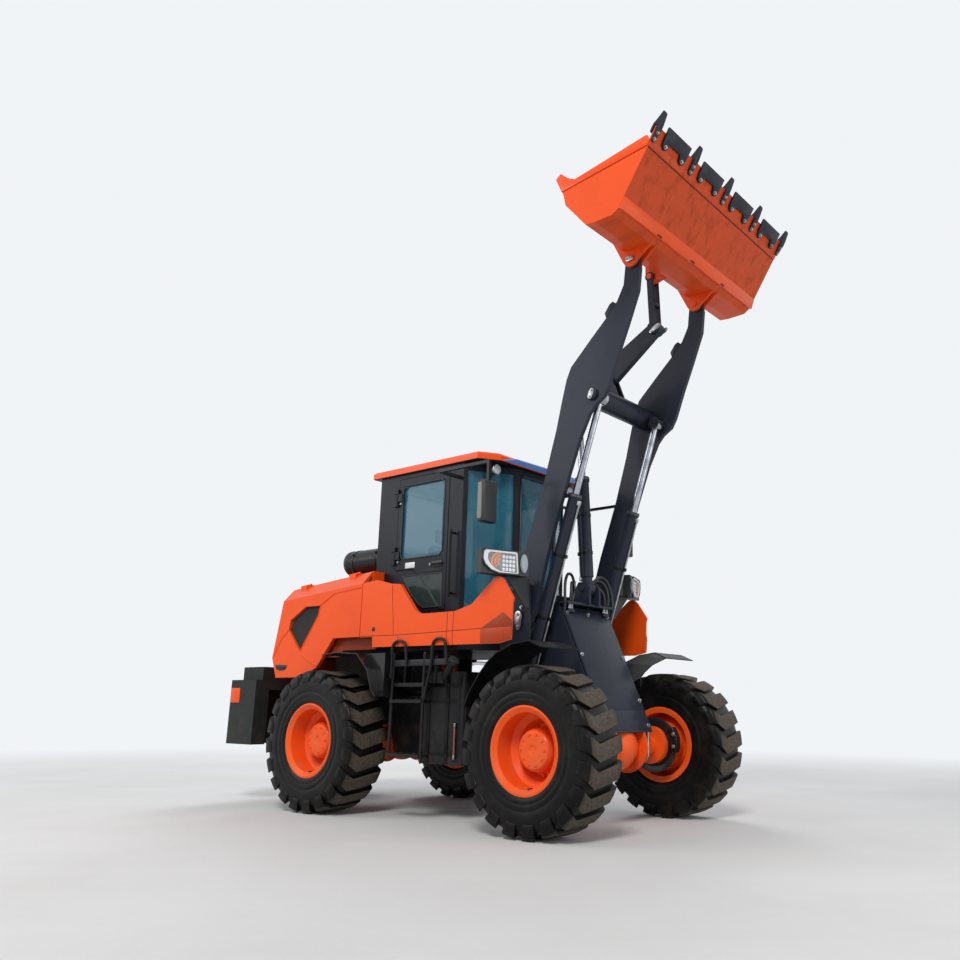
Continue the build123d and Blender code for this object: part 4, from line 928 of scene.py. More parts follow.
lap_seam = plate("bucket_lap_seam", [on_floor(489, -2), on_floor(489, 1.2), on_floor(498, 1.2),
                                     on_floor(498, -2)], -1084, 1084)
done(lap_seam, "bucket", seam_dark, bevel=0)
for number, y in enumerate((-590, -65, 462)):
    bead(f"weld_floor_{number}", [on_floor(s, 0) for s in (98, 180, 260, 335)], y, 3.5)
    slot_mark = plate(f"bucket_band_slot_{number}", [
        on_floor(4, 24), on_floor(10, 27), on_floor(22, 24), on_floor(16, 21),
    ], y + 10, y + 75)
    done(slot_mark, "bucket", seam_dark, bevel=1)
for side, y in (("right", -1072), ("left", 1072)):
    bead(f"weld_{side}_wall", [on_floor(60, -18), on_floor(250, -18), on_floor(530, -18)], y, 6)
for number, y in enumerate((-552, -482, 482, 552)):
    bead(f"weld_ear_{number}", [on_bucket(-196, 254), on_bucket(-62, 90), on_bucket(20, 80),
                                on_bucket(184, 86)], y, 6)

# %% [markdown]
# ## Teeth and edge plates
#
# A tooth is a forged fork. One jaw lies under the cutting edge and one over it, two bolts
# go through both, and the tip tapers to a rounded nose. Between the teeth hang
# edge plates whose lower edge is scalloped, which leaves a round tab about each bolt.
# Both stand for the plain blocks of the frame, so they replace those nodes.

# %% Teeth
FIRST_TOOTH, TOOTH_PITCH = -1075, 537.5
FIRST_PLATE, PLATE_PITCH = -808.5, 539
FACING_OUT = Vector((FLOOR_OUT.x, 0, FLOOR_OUT.y))


def across_at(s, t, y):
    """A place in millimetres from a place on the bucket's floor and a place across it."""
    x, z = on_floor(s, t)
    return (x, y, z)


def tooth(y):
    """A forked tooth at a place across the bucket."""
    outer = [
        (540, 0.4), (536, 8), (545, 15), (600, 19), (645, 27), (690, 24), (765, 13), (777, 5),
        (775, -4), (700, -24), (666, -38), (606, -38), (594, -30), (594, -17), (662.5, -17),
        (662.5, 0.4),
    ]
    made = plate("tooth", [on_floor(s, t) for s, t in outer], y - 26, y + 26)
    heel = at(on_floor(0, 0)[0], 0, on_floor(0, 0)[1])
    for vertex in made.data.vertices:
        along = (vertex.co - heel).dot(Vector((FLOOR_WAY.x, 0, FLOOR_WAY.y))) * 1000
        across = vertex.co.y * 1000 - y
        narrow = 1.0 if 590 < along < 690 else (0.8 if along > 770 or along < 550 else 0.96)
        vertex.co.y = (y + across * narrow) / 1000
    return made


row, nuts, edge_nuts = [], [], []
for k in range(5):
    y = FIRST_TOOTH + TOOTH_PITCH * k
    row.append(tooth(y))
    nuts += [across_at(s, t, y) for s, t in ((562, 16), (612, 20.5))]
made = done(joined(row, "bucket_forged_teeth"), "bucket", edge_steel, bevel=5,
            angle=24)
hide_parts("bucket_teeth")

plates = []
for k in range(4):
    y = FIRST_PLATE + PLATE_PITCH * k
    scallop = [
        (-163, 708), (163, 708), (163, 640), (160, 590), (148, 560), (136, 549), (118, 544),
        (100, 549), (88, 562), (82, 590), (68, 606), (-68, 606), (-82, 590), (-88, 562),
        (-100, 549), (-118, 544), (-136, 549), (-148, 560), (-160, 590), (-163, 640),
    ]
    plates.append(swept("edge_plate", [across_at(s, 0.4, y + a) for a, s in scallop],
                        FACING_OUT * 19.5))
    edge_nuts += [across_at(572, 20, y + a) for a in (-118, 118)]
made = done(joined(plates, "bucket_edge_plates"), "bucket", edge_steel, bevel=3,
            angle=24)
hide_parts("bolt_on_edges")
bolts("tooth_bolts", nuts, FACING_OUT, 17, "bucket", zinc)
bolts("edge_bolts", edge_nuts, FACING_OUT, 19, "bucket", zinc)
inner = [across_at(580, -16, y) for _, y, _ in edge_nuts]
bolts("edge_bolt_nuts", inner, -FACING_OUT, 26, "bucket", zinc)
print("tooth bolts", len(nuts), "edge bolts", len(edge_nuts))

# %% [markdown]
# ## Keepers
#
# A pin that could creep out is locked by a steel keeper, an oval or drop-shaped
# plate held by two bolts. The same few lines make every keeper on the machine.

# %% Keepers
def keeper(name, x, z, face, out, body, wide=92, high=44, turn=0.0, drop=0.5):
    """An oval plate with two bolts; drop is how narrow its far end is."""
    corners = []
    for k in range(20):
        angle = math.tau * k / 20
        u = wide / 2 * math.copysign(abs(math.cos(angle)) ** 0.7, math.cos(angle))
        v = high / 2 * math.copysign(abs(math.sin(angle)) ** 0.7, math.sin(angle))
        v *= drop * 2 if u < 0 else 1
        corners.append((x + u * math.cos(turn) - v * math.sin(turn),
                        z + u * math.sin(turn) + v * math.cos(turn)))
    done(plate(name, corners, face, face + 7 * out), body, zinc, bevel=2)
    u, v = wide * 0.31 * math.cos(turn), wide * 0.31 * math.sin(turn)
    heads = [(x + s * u, face + 7 * out, z + s * v) for s in (-1, 1)]
    bolts(name + "_bolts", heads, (0, out, 0), 15, body, zinc)


for side, out in SIDES:
    pin = turned(side + "_bucket_pin_end", [(564, 0), (564, 26), (572, 26), (575, 23), (575, 0)],
                 at(BUCKET_PIN[0], 0, BUCKET_PIN[1]), (0, out, 0), steps=24)
    done(pin, "bucket", dark_steel, bevel=0)
    keeper(side + "_bucket_keeper", *BUCKET_PIN, out * 575, out, "bucket", 74, 50)
print("bucket keepers 2")

# %% [markdown]
# ## Arms
#
# The two arms are flame-cut plates. Round the pins they carry thick bosses with a
# steel keeper each. Above the knee a stop block is welded to the back edge.
# Places on an arm are given along it from its foot and across it.

# %% Places on the arms
FOOT = (700, 1570)
RAISED = math.radians(69)


def on_arm(along, across):
    """(x, z) of a place on the raised arm."""
    return (FOOT[0] + along * math.cos(RAISED) - across * math.sin(RAISED),
            FOOT[1] + along * math.sin(RAISED) + across * math.cos(RAISED))


print("arm tip at", [round(v) for v in on_arm(3010, 0)])

# %% [markdown]
# The lift cylinder pulls on a boss near the knee, and a stop block is welded on the
# back edge above it. The bell crank between the arms has a keeper over its pin and
# a boss at its far end.

# %% Arm fittings
ROD_PIN = on_arm(1876, -16)
CRANK_PIN = (1688, 3982)
CRANK_END = (1150, 3690)
for side, out in SIDES:
    boss = turned(side + "_rod_boss", [(549, 0), (549, 50), (556, 50), (560, 46), (560, 0)],
                  at(ROD_PIN[0], 0, ROD_PIN[1]), (0, out, 0))
    done(boss, "boom", charcoal, bevel=1)
    keeper(side + "_rod_keeper", *ROD_PIN, out * 560, out, "boom", 92, 46, RAISED)
    block = plate(side + "_stop_block", [on_arm(2505, 82), on_arm(2640, 31), on_arm(2654, 68),
                                         on_arm(2628, 92), on_arm(2546, 114)], out * 540, out * 494)
    done(block, "boom", charcoal, bevel=5)
    keeper(side + "_crank_keeper", *CRANK_PIN, out * 56, out, "bell_crank", 118, 44,
           math.radians(29), 0.4)
    crank_end = turned(side + "_crank_boss", [(30, 0), (30, 62), (44, 62), (48, 58), (48, 0)],
                       at(CRANK_END[0], 0, CRANK_END[1]), (0, out, 0), steps=32)
    done(crank_end, "bell_crank", charcoal, bevel=1)
print("arm fittings 2 x 5")

# %% [markdown]
# ## Tower
#
# Each outer tower plate carries a drop-shaped keeper over the boom's foot pin,
# two bolts over it and a cap plate on top. The sloping cover between the plates is
# a thin lid, held by bright bolts round its edge. Its bottom strip is a
# separate piece, so a fine seam runs across it.

# %% Tower fittings
TOWER_FACE = 572
FOOT_PIN = (700, 1545)
LIFT_BASE = (680, 1120)
COVER_TOP = Vector((935, 0, 1668))
COVER_FOOT = Vector((1375, 0, 700))
LID_HALF = 306
cover_way = (COVER_FOOT - COVER_TOP).normalized()
cover_out = Vector((-cover_way.z, 0, cover_way.x))


def on_cover(down, across, lift=0.0):
    """A place on the cover, down millimetres from its top edge and lift above its face."""
    return tuple(Vector((COVER_TOP.x, across, COVER_TOP.z)) + cover_way * down + cover_out * lift)


for side, out in SIDES:
    face = out * TOWER_FACE
    keeper(side + "_foot_keeper", *FOOT_PIN, out * 587, out, "front_body", 150, 78, math.pi / 2,
           0.36)
    bolts(side + "_tower_bolts", [(742, face, 1712), (716, face, 1648)], (0, out, 0), 20,
          "front_body", zinc)
    cap = plate(side + "_tower_cap", [(548, 1772), (566, 1822), (792, 1822), (796, 1772)], face,
                face + 7 * out)
    done(cap, "front_body", charcoal, bevel=2)
    lift_pin = turned(side + "_lift_pin_end", [(572, 0), (572, 34), (590, 34), (594, 30), (594, 0)],
                      at(LIFT_BASE[0], 0, LIFT_BASE[1]), (0, out, 0), steps=24)
    done(lift_pin, "front_body", dark_steel, bevel=0)
heads = [on_cover(d, y, 1.5) for d, y in ((48, -282), (48, 0), (48, 282), (420, -290), (420, 290),
                                          (800, -290), (800, 290), (1012, -282), (1012, 282))]
bolts("cover_bolts", heads, cover_out, 20, "front_body", zinc)
for name, top, foot in (("cover_lid", 16, 880), ("cover_foot_strip", 886, 1048)):
    corners = [(top, -LID_HALF), (top, LID_HALF), (foot, LID_HALF), (foot, -LID_HALF)]
    sheet = swept(name, [on_cover(*corner) for corner in corners], cover_out * 3)
    done(sheet, "front_body", charcoal, bevel=1)
print("cover bolts", len(heads))

# %% [markdown]
# ## Cylinder pipes
#
# Oil reaches the far end of each cylinder through a bright pipe clipped along its
# barrel. The pipe rides with the barrel, so it never has to bend. It starts
# at a block by the base and ends at a block by the gland, and two clamps hold it.

# %% Pipes on the barrels
def pipe_on(name, base, tip, y, radius, body, lift, length, back=1):
    """A pipe along a barrel from base towards tip, on the side that back tells."""
    base, tip = Vector(base), Vector(tip)
    way = (tip - base).normalized()
    off = Vector((-way.y, way.x)) * back
    reach = radius + lift

    def spot(along, out):
        place = base + way * along + off * out
        return (place.x, y, place.y)

    path = [spot(92, radius - 4), spot(92, reach), spot(130, reach), spot(length - 70, reach),
            spot(length - 34, reach), spot(length - 26, radius)]
    done(tube(name, path, 7.5), body, zinc, bevel=0, angle=60)
    turn = Vector((way.x, 0, way.y)).to_track_quat("X", "Y").to_matrix().to_4x4()
    for number, along in enumerate((0.33, 0.68)):
        a, b = spot(length * along - 14, 0), spot(length * along + 14, 0)
        clamp = turned("clamp", [
            (-14, radius + 1), (-14, radius + 4), (14, radius + 4), (14, radius + 1),
        ], at(*((Vector(a) + Vector(b)) / 2)), (way.x, 0, way.y), steps=32)
        saddle = start("saddle", "cube", size=0.001)
        where = at(*spot(length * along, reach))
        saddle.data.transform(Matrix.Translation(where) @ turn @ Matrix.Diagonal((30, 26, 24, 1)))
        done(joined([clamp, saddle], f"{name}_clamp_{number}"), body, black_metal, bevel=1.5)
    ends = []
    for along in (92, length - 28):
        where = at(*spot(along, radius + 2))
        block = start("block", "cube", size=0.001)
        block.data.transform(Matrix.Translation(where) @ turn @ Matrix.Diagonal((38, 34, 30, 1)))
        ends.append(block)
    done(joined(ends, name + "_blocks"), body, zinc, bevel=3)


TILT_BASE = (955, 1840)
TILT_EYE = (840, 3630)
LIFT_Y = 425
for side, out in SIDES:
    pipe_on(side + "_lift_pipe", LIFT_BASE, ROD_PIN, out * LIFT_Y, 50, side + "_lift_barrel", 13,
            1460, -1)
pipe_on("tilt_pipe", TILT_BASE, TILT_EYE, 0, 55, "tilt_barrel", 13, 930, 1)


def gland(name, base, tip, y, along, radius, body):
    """The bright threaded nut and dark wiper where a rod leaves its barrel."""
    base, tip = Vector(base), Vector(tip)
    way = (tip - base).normalized()
    place = base + way * along
    ring = turned(name, [
        (-26, radius - 4), (-26, radius + 3), (-8, radius + 3), (-8, radius), (-2, radius),
        (-2, radius - 8),
    ], at(place.x, y, place.y), (way.x, 0, way.y), steps=12)
    done(ring, body, dark_steel, bevel=1)


for side, out in SIDES:
    gland(side + "_lift_gland", LIFT_BASE, ROD_PIN, out * LIFT_Y, 1500, 57, side + "_lift_barrel")
gland("tilt_gland", TILT_BASE, TILT_EYE, 0, 970, 61, "tilt_barrel")
print("pipes 3")

# %% [markdown]
# ## Hydraulic hoses
#
# Short hoses loop between the valve behind the cover and the fittings on the tower.
# They stay on the front body, so no joint stretches them. Each is a smooth
# tube that leaves its fitting straight and bends back in one easy curve.

# %% Hoses and fittings on the tower
HOSES = {
    "far_outer": [(960, 262, 1668), (968, 262, 1712), (985, 262, 1780), (975, 240, 1880),
                  (950, 190, 1930), (925, 130, 1920), (905, 105, 1850), (890, 105, 1760),
                  (860, 120, 1660)],
    "far_inner": [(955, 228, 1668), (962, 228, 1706), (975, 222, 1755), (968, 200, 1830),
                  (948, 165, 1868), (925, 130, 1840), (900, 122, 1770), (860, 140, 1670)],
    "near_outer": [(960, -262, 1668), (968, -262, 1712), (980, -262, 1775), (968, -246, 1850),
                   (945, -205, 1880), (920, -150, 1850), (900, -120, 1780), (860, -130, 1660)],
    "near_inner": [(955, -228, 1668), (962, -228, 1700), (970, -222, 1740), (962, -200, 1790),
                   (940, -165, 1800), (915, -145, 1750), (870, -150, 1670)],
    "far_drop": [(900, 118, 1862), (908, 132, 1910), (926, 190, 1958), (944, 262, 1960),
                 (962, 312, 1890), (974, 331, 1790), (980, 333, 1700), (958, 326, 1610),
                 (900, 310, 1540)],
    "near_drop": [(900, -118, 1862), (908, -132, 1906), (924, -190, 1946), (940, -262, 1940),
                  (956, -312, 1870), (968, -331, 1780), (974, -333, 1695), (954, -326, 1610),
                  (900, -310, 1540)],
}
for name, path in HOSES.items():
    done(tube("hose_" + name, path, 12), "front_body", hose_rubber, bevel=0, angle=60)
    ferrule = turned("ferrule_" + name, [(-24, 0), (-24, 17), (4, 17), (6, 14), (34, 14),
                                         (38, 12.4), (38, 0)], at(*path[0]), (0.18, 0, 1), steps=6)
    done(ferrule, "front_body", zinc, bevel=1)
for side, out in SIDES:
    foot = swept(side + "_hose_block", upright(928, out * 205, out * 285, 1628, 1656), (46, 0, 0))
    done(foot, "front_body", charcoal, bevel=3)
print("hoses", len(HOSES))

# %% [markdown]
# ## Headlights
#
# A headlight is a wide pod. A black shell is open at the front, a silver
# bezel closes it, and behind the clear lens lie three amber arcs, a grid of small
# square lamps and a grey reflector. An oval turn signal sits beside it. The
# pod's face slants, so everything is laid out along the face and out from it.

# %% Headlight faces
LIGHT_LOW = 1862
SIGNAL_AT = (366, 96)
ARC_AT, ARC_FLAT, ARC_WIDE = (168, 92), 0.86, 17


def face_frame(side):
    """The corner, the way along and the way out of a headlight's front face."""
    out = -1 if side == "right" else 1
    corner = Vector((757, out * 1100, 0))
    way = (Vector((905, out * 718, 0)) - corner).normalized()
    normal = Vector((abs(way.y), -way.x * (way.y / abs(way.y)), 0)).normalized()
    return corner, way, normal


def on_face(side, along, high, lift=0.0):
    """A place on the headlight's face."""
    corner, way, normal = face_frame(side)
    place = corner + way * along + normal * lift
    return (place.x, place.y, LIGHT_LOW + high)


def face_piece(name, side, outline, lift, thick, finish, bevel=1.5):
    """A flat piece laid on the headlight's face."""
    thickness = face_frame(side)[2] * thick
    made = swept(name, [on_face(side, a, h, lift) for a, h in outline], thickness)
    return done(made, "front_body", finish, bevel=bevel)


def rounded(a0, a1, h0, h1, r):
    """A rectangle with cut corners, as (along, high) places."""
    return [(a0 + r, h0), (a1 - r, h0), (a1, h0 + r), (a1, h1 - r), (a1 - r, h1), (a0 + r, h1),
            (a0, h1 - r), (a0, h0 + r)]


def frame_piece(name, side, outer, inner, lift, thick, finish):
    """A flat ring between two outlines of equally many corners."""
    loops = []
    for outline in (outer, inner):
        loop = start(name, "circle", vertices=len(outline), fill_type="NOTHING")
        for vertex, (a, h) in zip(loop.data.vertices, outline):
            vertex.co = at(*on_face(side, a, h, lift))
        loops.append(loop)
    made = joined(loops, name)
    thickness = tuple(face_frame(side)[2] * thick / 1000)
    edit_all(made)
    bpy.ops.mesh.bridge_edge_loops()
    bpy.ops.mesh.select_all(action="SELECT")
    bpy.ops.mesh.extrude_region_move(TRANSFORM_OT_translate={"value": thickness})
    leave_edit()
    return done(made, "front_body", finish, bevel=1.5)


def oval(wide, tall):
    """An upright oval round the turn signal's middle, as (along, high) places."""
    turns = [math.tau * k / 20 for k in range(20)]
    return [(SIGNAL_AT[0] + wide * math.cos(t), SIGNAL_AT[1] + tall * math.sin(t)) for t in turns]


def arc(radius, turns):
    """Part of a flattened circle behind the lens, as (along, high) places."""
    return [(ARC_AT[0] + radius * math.cos(t),
             ARC_AT[1] + radius * ARC_FLAT * math.sin(t)) for t in turns]


SHELL_LINE = [(26, 188), (4, 166), (0, 108), (22, 62), (74, 20), (150, 0), (320, 0), (328, 12),
              (312, 176), (300, 188)]
BEZEL_LINE = [(30, 179), (14, 160), (11, 110), (31, 68), (80, 29), (152, 10), (310, 10), (317, 18),
              (303, 171), (294, 179)]
GLASS_LINE = [(70, 164), (52, 150), (48, 114), (62, 82), (100, 45), (158, 21), (300, 17), (306, 23),
              (292, 158), (284, 164)]
lamp_backing = bare("lamp_backing", rgb(122, 122, 124), rgb(86, 86, 90), 0.3, 0.00005)
lamp_bezel = paint("lamp_bezel", rgb(226, 228, 232), rgb(206, 208, 214), 0.2, 0.6, dust=0.1)
signal_clear = pane("signal_clear", rgb(170, 182, 188), rgb(130, 142, 148), 0.9, 0.06, 0.08, 0.0010)
lens_cover = pane("lens_cover", rgb(236, 240, 244), rgb(210, 214, 220), 0.08, 0.04, 0.03)
led_white = pane("led_white", rgb(244, 246, 250), rgb(214, 220, 232), 0.96, 0.03, 0.1)
for side in ("right", "left"):
    face_piece(side + "_light_reflector", side, GLASS_LINE, 1, 3, lamp_backing)
    frame_piece(side + "_light_shell", side, SHELL_LINE, BEZEL_LINE, 0, 15, black_plastic)
    frame_piece(side + "_light_bezel", side, BEZEL_LINE, GLASS_LINE, 0, 12, lamp_bezel)
    for number, radius in enumerate((92, 66, 40)):
        turns = [math.radians(a) for a in range(96, 229, 12)]
        band = arc(radius, turns) + arc(radius - ARC_WIDE, reversed(turns))
        face_piece(f"{side}_light_amber_{number}", side, band, 4, 5, lamp_amber, bevel=1)
    cells = []
    normal = face_frame(side)[2]
    for a in range(176, 264, 29):
        for h in range(26, 123, 32):
            places = [on_face(side, *p, 4) for p in rounded(a, a + 22, h, h + 24, 4)]
            cells.append(swept("cell", places, normal * 5))
    done(joined(cells, side + "_light_cells"), "front_body", led_white, bevel=1.5)
    face_piece(side + "_light_lens", side, GLASS_LINE, 10.5, 2, lens_cover, bevel=0)
    face_piece(side + "_turn_signal_cup", side, oval(37, 78), -30, 36, black_plastic, bevel=2)
    face_piece(side + "_turn_signal_rim", side, oval(34, 74), 4, 6, zinc, bevel=2)
    face_piece(side + "_turn_signal", side, oval(29, 68), 8, 14, signal_clear, bevel=9)
print("headlights 2, cells in each", len(cells))

# %% [markdown]
# ## Cab
#
# The cab is a welded cage with big panes. Each pane sits in a soft black seal, which
# shows as a dark line round the glass. The seal is a round cord laid along the
# pane's edge. The low pane is cut in two where the door ends, so that one half
# swings with the door and the other stays on the body.

# %% Window seals
SEAL_CORNER = 34


def seal(name, corners, radius, body):
    """A rubber seal round a pane: a closed cord through its corners in millimetres."""
    corners = [Vector(c) for c in corners]
    path = []
    for k, corner in enumerate(corners):
        before, after = corners[k - 1], corners[(k + 1) % len(corners)]
        path.append(corner + (before - corner).normalized() * SEAL_CORNER)
        path.append(corner + (after - corner).normalized() * SEAL_CORNER)
    made = tube(name, [tuple(p) for p in path] + [tuple(path[0])], radius, smooth=False)
    return done(made, body, black_plastic, bevel=0, angle=70)


CAB_FACE = 702
PANE_BACK, PANE_FRONT = 700, 703.5
low_glass = pane("low_glass", rgb(46, 60, 58), rgb(62, 78, 74), 0.93, 0.05, 0.08)
UPPER_DOOR = rect(-590, -70, 2130, 2800)
LOW_DOOR_PANE = [(-318, 1976), (-56, 1976), (-56, 1692), (-94, 1692), (-178, 1800)]
LOW_FIXED_PANE = [(-545, 1976), (-336, 1976), (-328, 1966), (-190, 1796), (-108, 1690),
                  (-268, 1690), (-318, 1716), (-440, 1830)]
for side, out in SIDES:
    y = out * CAB_FACE
    door = side + "_cab_door"
    seal(side + "_door_seal", [(x, y, z) for x, z in UPPER_DOOR], 8, door)
    for part, corners, body in (("door", LOW_DOOR_PANE, door),
                                ("fixed", LOW_FIXED_PANE, "rear_body")):
        low_pane = plate(f"{side}_{part}_low_pane", corners, out * PANE_BACK, out * PANE_FRONT)
        done(low_pane, body, low_glass, bevel=0)
        edge = [tube("edge", [(a[0], y, a[1]), (b[0], y, b[1])], 6, smooth=False)
                for a, b in zip(corners, corners[1:] + corners[:1])]
        done(joined(edge, f"{side}_{part}_low_seal"), body, black_plastic, bevel=0, angle=70)
    filler = plate(side + "_door_filler", rect(-310, -60, 1980, 2022), out * PANE_BACK,
                   out * PANE_FRONT)
    done(filler, door, cab_dark, bevel=1)
seal("screen_seal", upright(402, -236, 236, 1700, 2850), 8, "rear_body")
seal("rear_seal", upright(-902, -560, 560, 2120, 2820), 8, "rear_body")

# %% [markdown]
# The door handle is a flat grip on a pad with a round lock beside it. Each hinge
# has a black leaf held by two bolts. The small plate below the window is left
# blank.

# %% Door furniture
for side, out in SIDES:
    door = side + "_cab_door"
    y = out * CAB_FACE
    backing = plate(side + "_handle_pad", rect(-190, -60, 2036, 2082), y, y + 6 * out)
    done(backing, door, black_plastic, bevel=3)
    grip = tube(side + "_handle_grip", [
        (-180, y + 4 * out, 2056), (-176, y + 30 * out, 2056), (-150, y + 36 * out, 2056),
        (-96, y + 36 * out, 2056), (-72, y + 30 * out, 2056), (-68, y + 4 * out, 2056),
    ], 9)
    done(grip, door, black_plastic, bevel=0, angle=60)
    lock = turned(side + "_door_lock", [(0, 0), (0, 11), (7, 11), (8, 9), (8, 0)],
                  at(-206, y, 2058), (0, out, 0), steps=20)
    done(lock, door, zinc, bevel=0.6)
    blank = plate(side + "_blank_plate", rect(-520, -400, 2046, 2096), y, y + 2 * out)
    done(blank, door, sign_white, bevel=1)
    for number, z in enumerate((2130, 2660)):
        leaf = plate(f"{side}_hinge_leaf_{number}", rect(-640, -596, z - 34, z + 34), y,
                     y + 5 * out)
        done(leaf, door, black_metal, bevel=1.5)
        bolts(f"{side}_hinge_bolts_{number}", [(-616, y + 5 * out, z + d) for d in (-20, 20)],
              (0, out, 0), 11, door, zinc)
print("doors furnished")

# %% [markdown]
# The wiper is a spindle, an arm and a blade that lies on the glass. The mirrors
# get a moulded housing, thicker than the plain node shows at its rim, with a
# reflecting face set into the rear side and a pale grey panel on the outer one,
# which is a painted highlight on the dark housing. Each work lamp gets a lens and
# a bright rim.

# %% Wiper, mirrors, work lamps
spindle = turned("wiper_spindle", [(0, 0), (0, 20), (12, 18), (26, 10), (30, 0)],
                 at(402, -150, 1668), (1, 0, 0), steps=20)
done(spindle, "rear_body", black_plastic, bevel=0.8)
arm = tube("wiper_arm", [(424, -150, 1668), (426, -140, 1760), (420, -90, 2020), (414, -60, 2120)],
           6)
done(arm, "rear_body", black_metal, bevel=0, angle=60)
blade = swept("wiper_blade", [(404, -120, 1900), (404, -106, 1896), (404, 0, 2330),
                              (404, -14, 2334)], (12, 0, 0))
done(blade, "rear_body", black_plastic, bevel=2)

# The pale grey panel is a painted highlight on the mirror's dark housing.
mirror_painted_highlight = paint("mirror_painted_highlight", rgb(140, 137, 132), rgb(120, 117, 112), 0.5, 0.1)
for side, out in SIDES:
    shell = slab_up(side + "_mirror_shell", [
        (652, out * 908), (706, out * 896), (722, out * 912), (726, out * 1048), (708, out * 1064),
        (652, out * 1056),
    ], 2274, 2606)
    done(shell, "rear_body", black_plastic, bevel=9, segments=3)
    glass = swept(side + "_mirror_glass", upright(651, out * 922, out * 1042, 2292, 2588),
                  (-4, 0, 0))
    done(glass, "rear_body", mirror_face, bevel=1)
    panel = plate(side + "_mirror_painted_highlight", [(660, 2296), (700, 2296), (703, 2330), (703, 2556),
                                          (699, 2584), (662, 2584)], out * 1050, out * 1066)
    done(panel, "rear_body", mirror_painted_highlight, bevel=2)

LAMP_Z = 2853
low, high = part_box("work_lights")
for name, y, out in (("front_right", -520, 1), ("front_left", 520, 1), ("rear_right", -480, -1),
                     ("rear_left", 480, -1)):
    face = (high.x - HINGE_X) * 1000 if out > 0 else (low.x - HINGE_X) * 1000
    lens = turned(name + "_work_lens", [(0, 0), (0, 40), (3, 40), (7, 26), (9, 0)],
                  at(face, y, LAMP_Z), (out, 0, 0), steps=32)
    done(lens, "rear_body", lamp_clear, bevel=0)
    rim = turned(name + "_work_rim", [(-8, 40), (-8, 49), (4, 49), (9, 45), (9, 40), (0, 38)],
                 at(face, y, LAMP_Z), (out, 0, 0), steps=32)
    done(rim, "rear_body", zinc, bevel=1)
print("mirrors 2, work lamps 4")

# %% [markdown]
# Only the roof's rim and top are body colour. Underneath is a black tray
# that shows all round from below, with a shallow drip edge, and the top
# carries two long pressed ribs and a low hatch. Dark linings back the low part of
# the front glass and of the cab's corners.

# %% Roof
tray = slab_up("roof_tray", [(-976, -722), (322, -722), (430, -556), (430, 556), (322, 722),
                             (-976, 722)], 2908, 2916)
done(tray, "rear_body", black_trim, bevel=2)
drip = slab_up("roof_drip_edge", [(-982, -728), (326, -728), (436, -559), (436, 559), (326, 728),
                                  (-982, 728)], 2916, 2921)
done(drip, "rear_body", black_trim, bevel=1)
for number, y in enumerate((-430, 430)):
    rib = slab_up(f"roof_rib_{number}", rect(-860, 220, y - 46, y + 46), 2976, 2984)
    done(rib, "rear_body", body_orange, bevel=6, segments=3)
hatch = slab_up("roof_hatch", rect(-520, -40, -250, 250), 2976, 2988)
done(hatch, "rear_body", body_orange, bevel=8, segments=3)
lining = swept("screen_lining", upright(396, -250, 250, 1560, 1700), (-14, 0, 0))
done(lining, "rear_body", black_plastic, bevel=2)
for side, out in SIDES:
    low_lining = slab_up(side + "_corner_lining", [(150, out * 646), (351, out * 302),
                                                   (338, out * 294), (137, out * 638)], 1652, 1885)
    done(low_lining, "rear_body", black_plastic, bevel=2)
print("roof pieces 5, linings 3")

# %% [markdown]
# ## Seat
#
# The driver's seat is foam under woven cloth. Its cushion and back are inflated by a
# short cloth simulation, which rounds them and pulls in their sides between the
# corners, as stuffing does. The base, the pan, the headrest's posts and the armrests
# are hard.

# %% Padding
CLOTH_FRAMES, CLOTH_GRID, PUFF = 20, 0.012, 4


def pad(name, low, high, tilt=0.0, crown=10):
    """A cushion between two corners in millimetres, tilted about its low rear edge."""
    size = Vector(high) - Vector(low)
    centre = (Vector(high) + Vector(low)) / 2
    made = start(name, "cube", size=1)
    made.data.transform(Matrix.Diagonal((*(size * 0.94 / 1000), 1)))
    modified(made, "BEVEL", width=min(size) * 0.3 / 1000, segments=5)
    made.data.remesh_voxel_size = CLOTH_GRID
    bpy.ops.object.voxel_remesh()
    before = [v.co.copy() for v in made.data.vertices]
    puff = made.modifiers.new("cloth", "CLOTH")
    puff.settings.use_pressure = True
    puff.settings.uniform_pressure_force = PUFF
    puff.settings.effector_weights.gravity = 0
    scene = bpy.context.scene
    scene.frame_start, scene.frame_end = 1, CLOTH_FRAMES
    for step in range(1, CLOTH_FRAMES + 1):
        scene.frame_set(step)
    bpy.ops.object.modifier_apply(modifier=puff.name)
    for vertex, rest in zip(made.data.vertices, before):
        move = vertex.co - rest
        if move.length > crown / 1000:
            vertex.co = rest + move.normalized() * crown / 1000
    scene.frame_set(1)
    modified(made, "SUBSURF", levels=1, render_levels=1)
    place = Matrix.Translation(at(*centre))
    foot = at(low[0], 0, low[2])
    turn = Matrix.Translation(foot) @ Matrix.Rotation(tilt, 4, "Y") @ Matrix.Translation(-foot)
    made.data.transform(turn @ place)
    done(made, "rear_body", seat_fabric, bevel=0, angle=60)
    return made


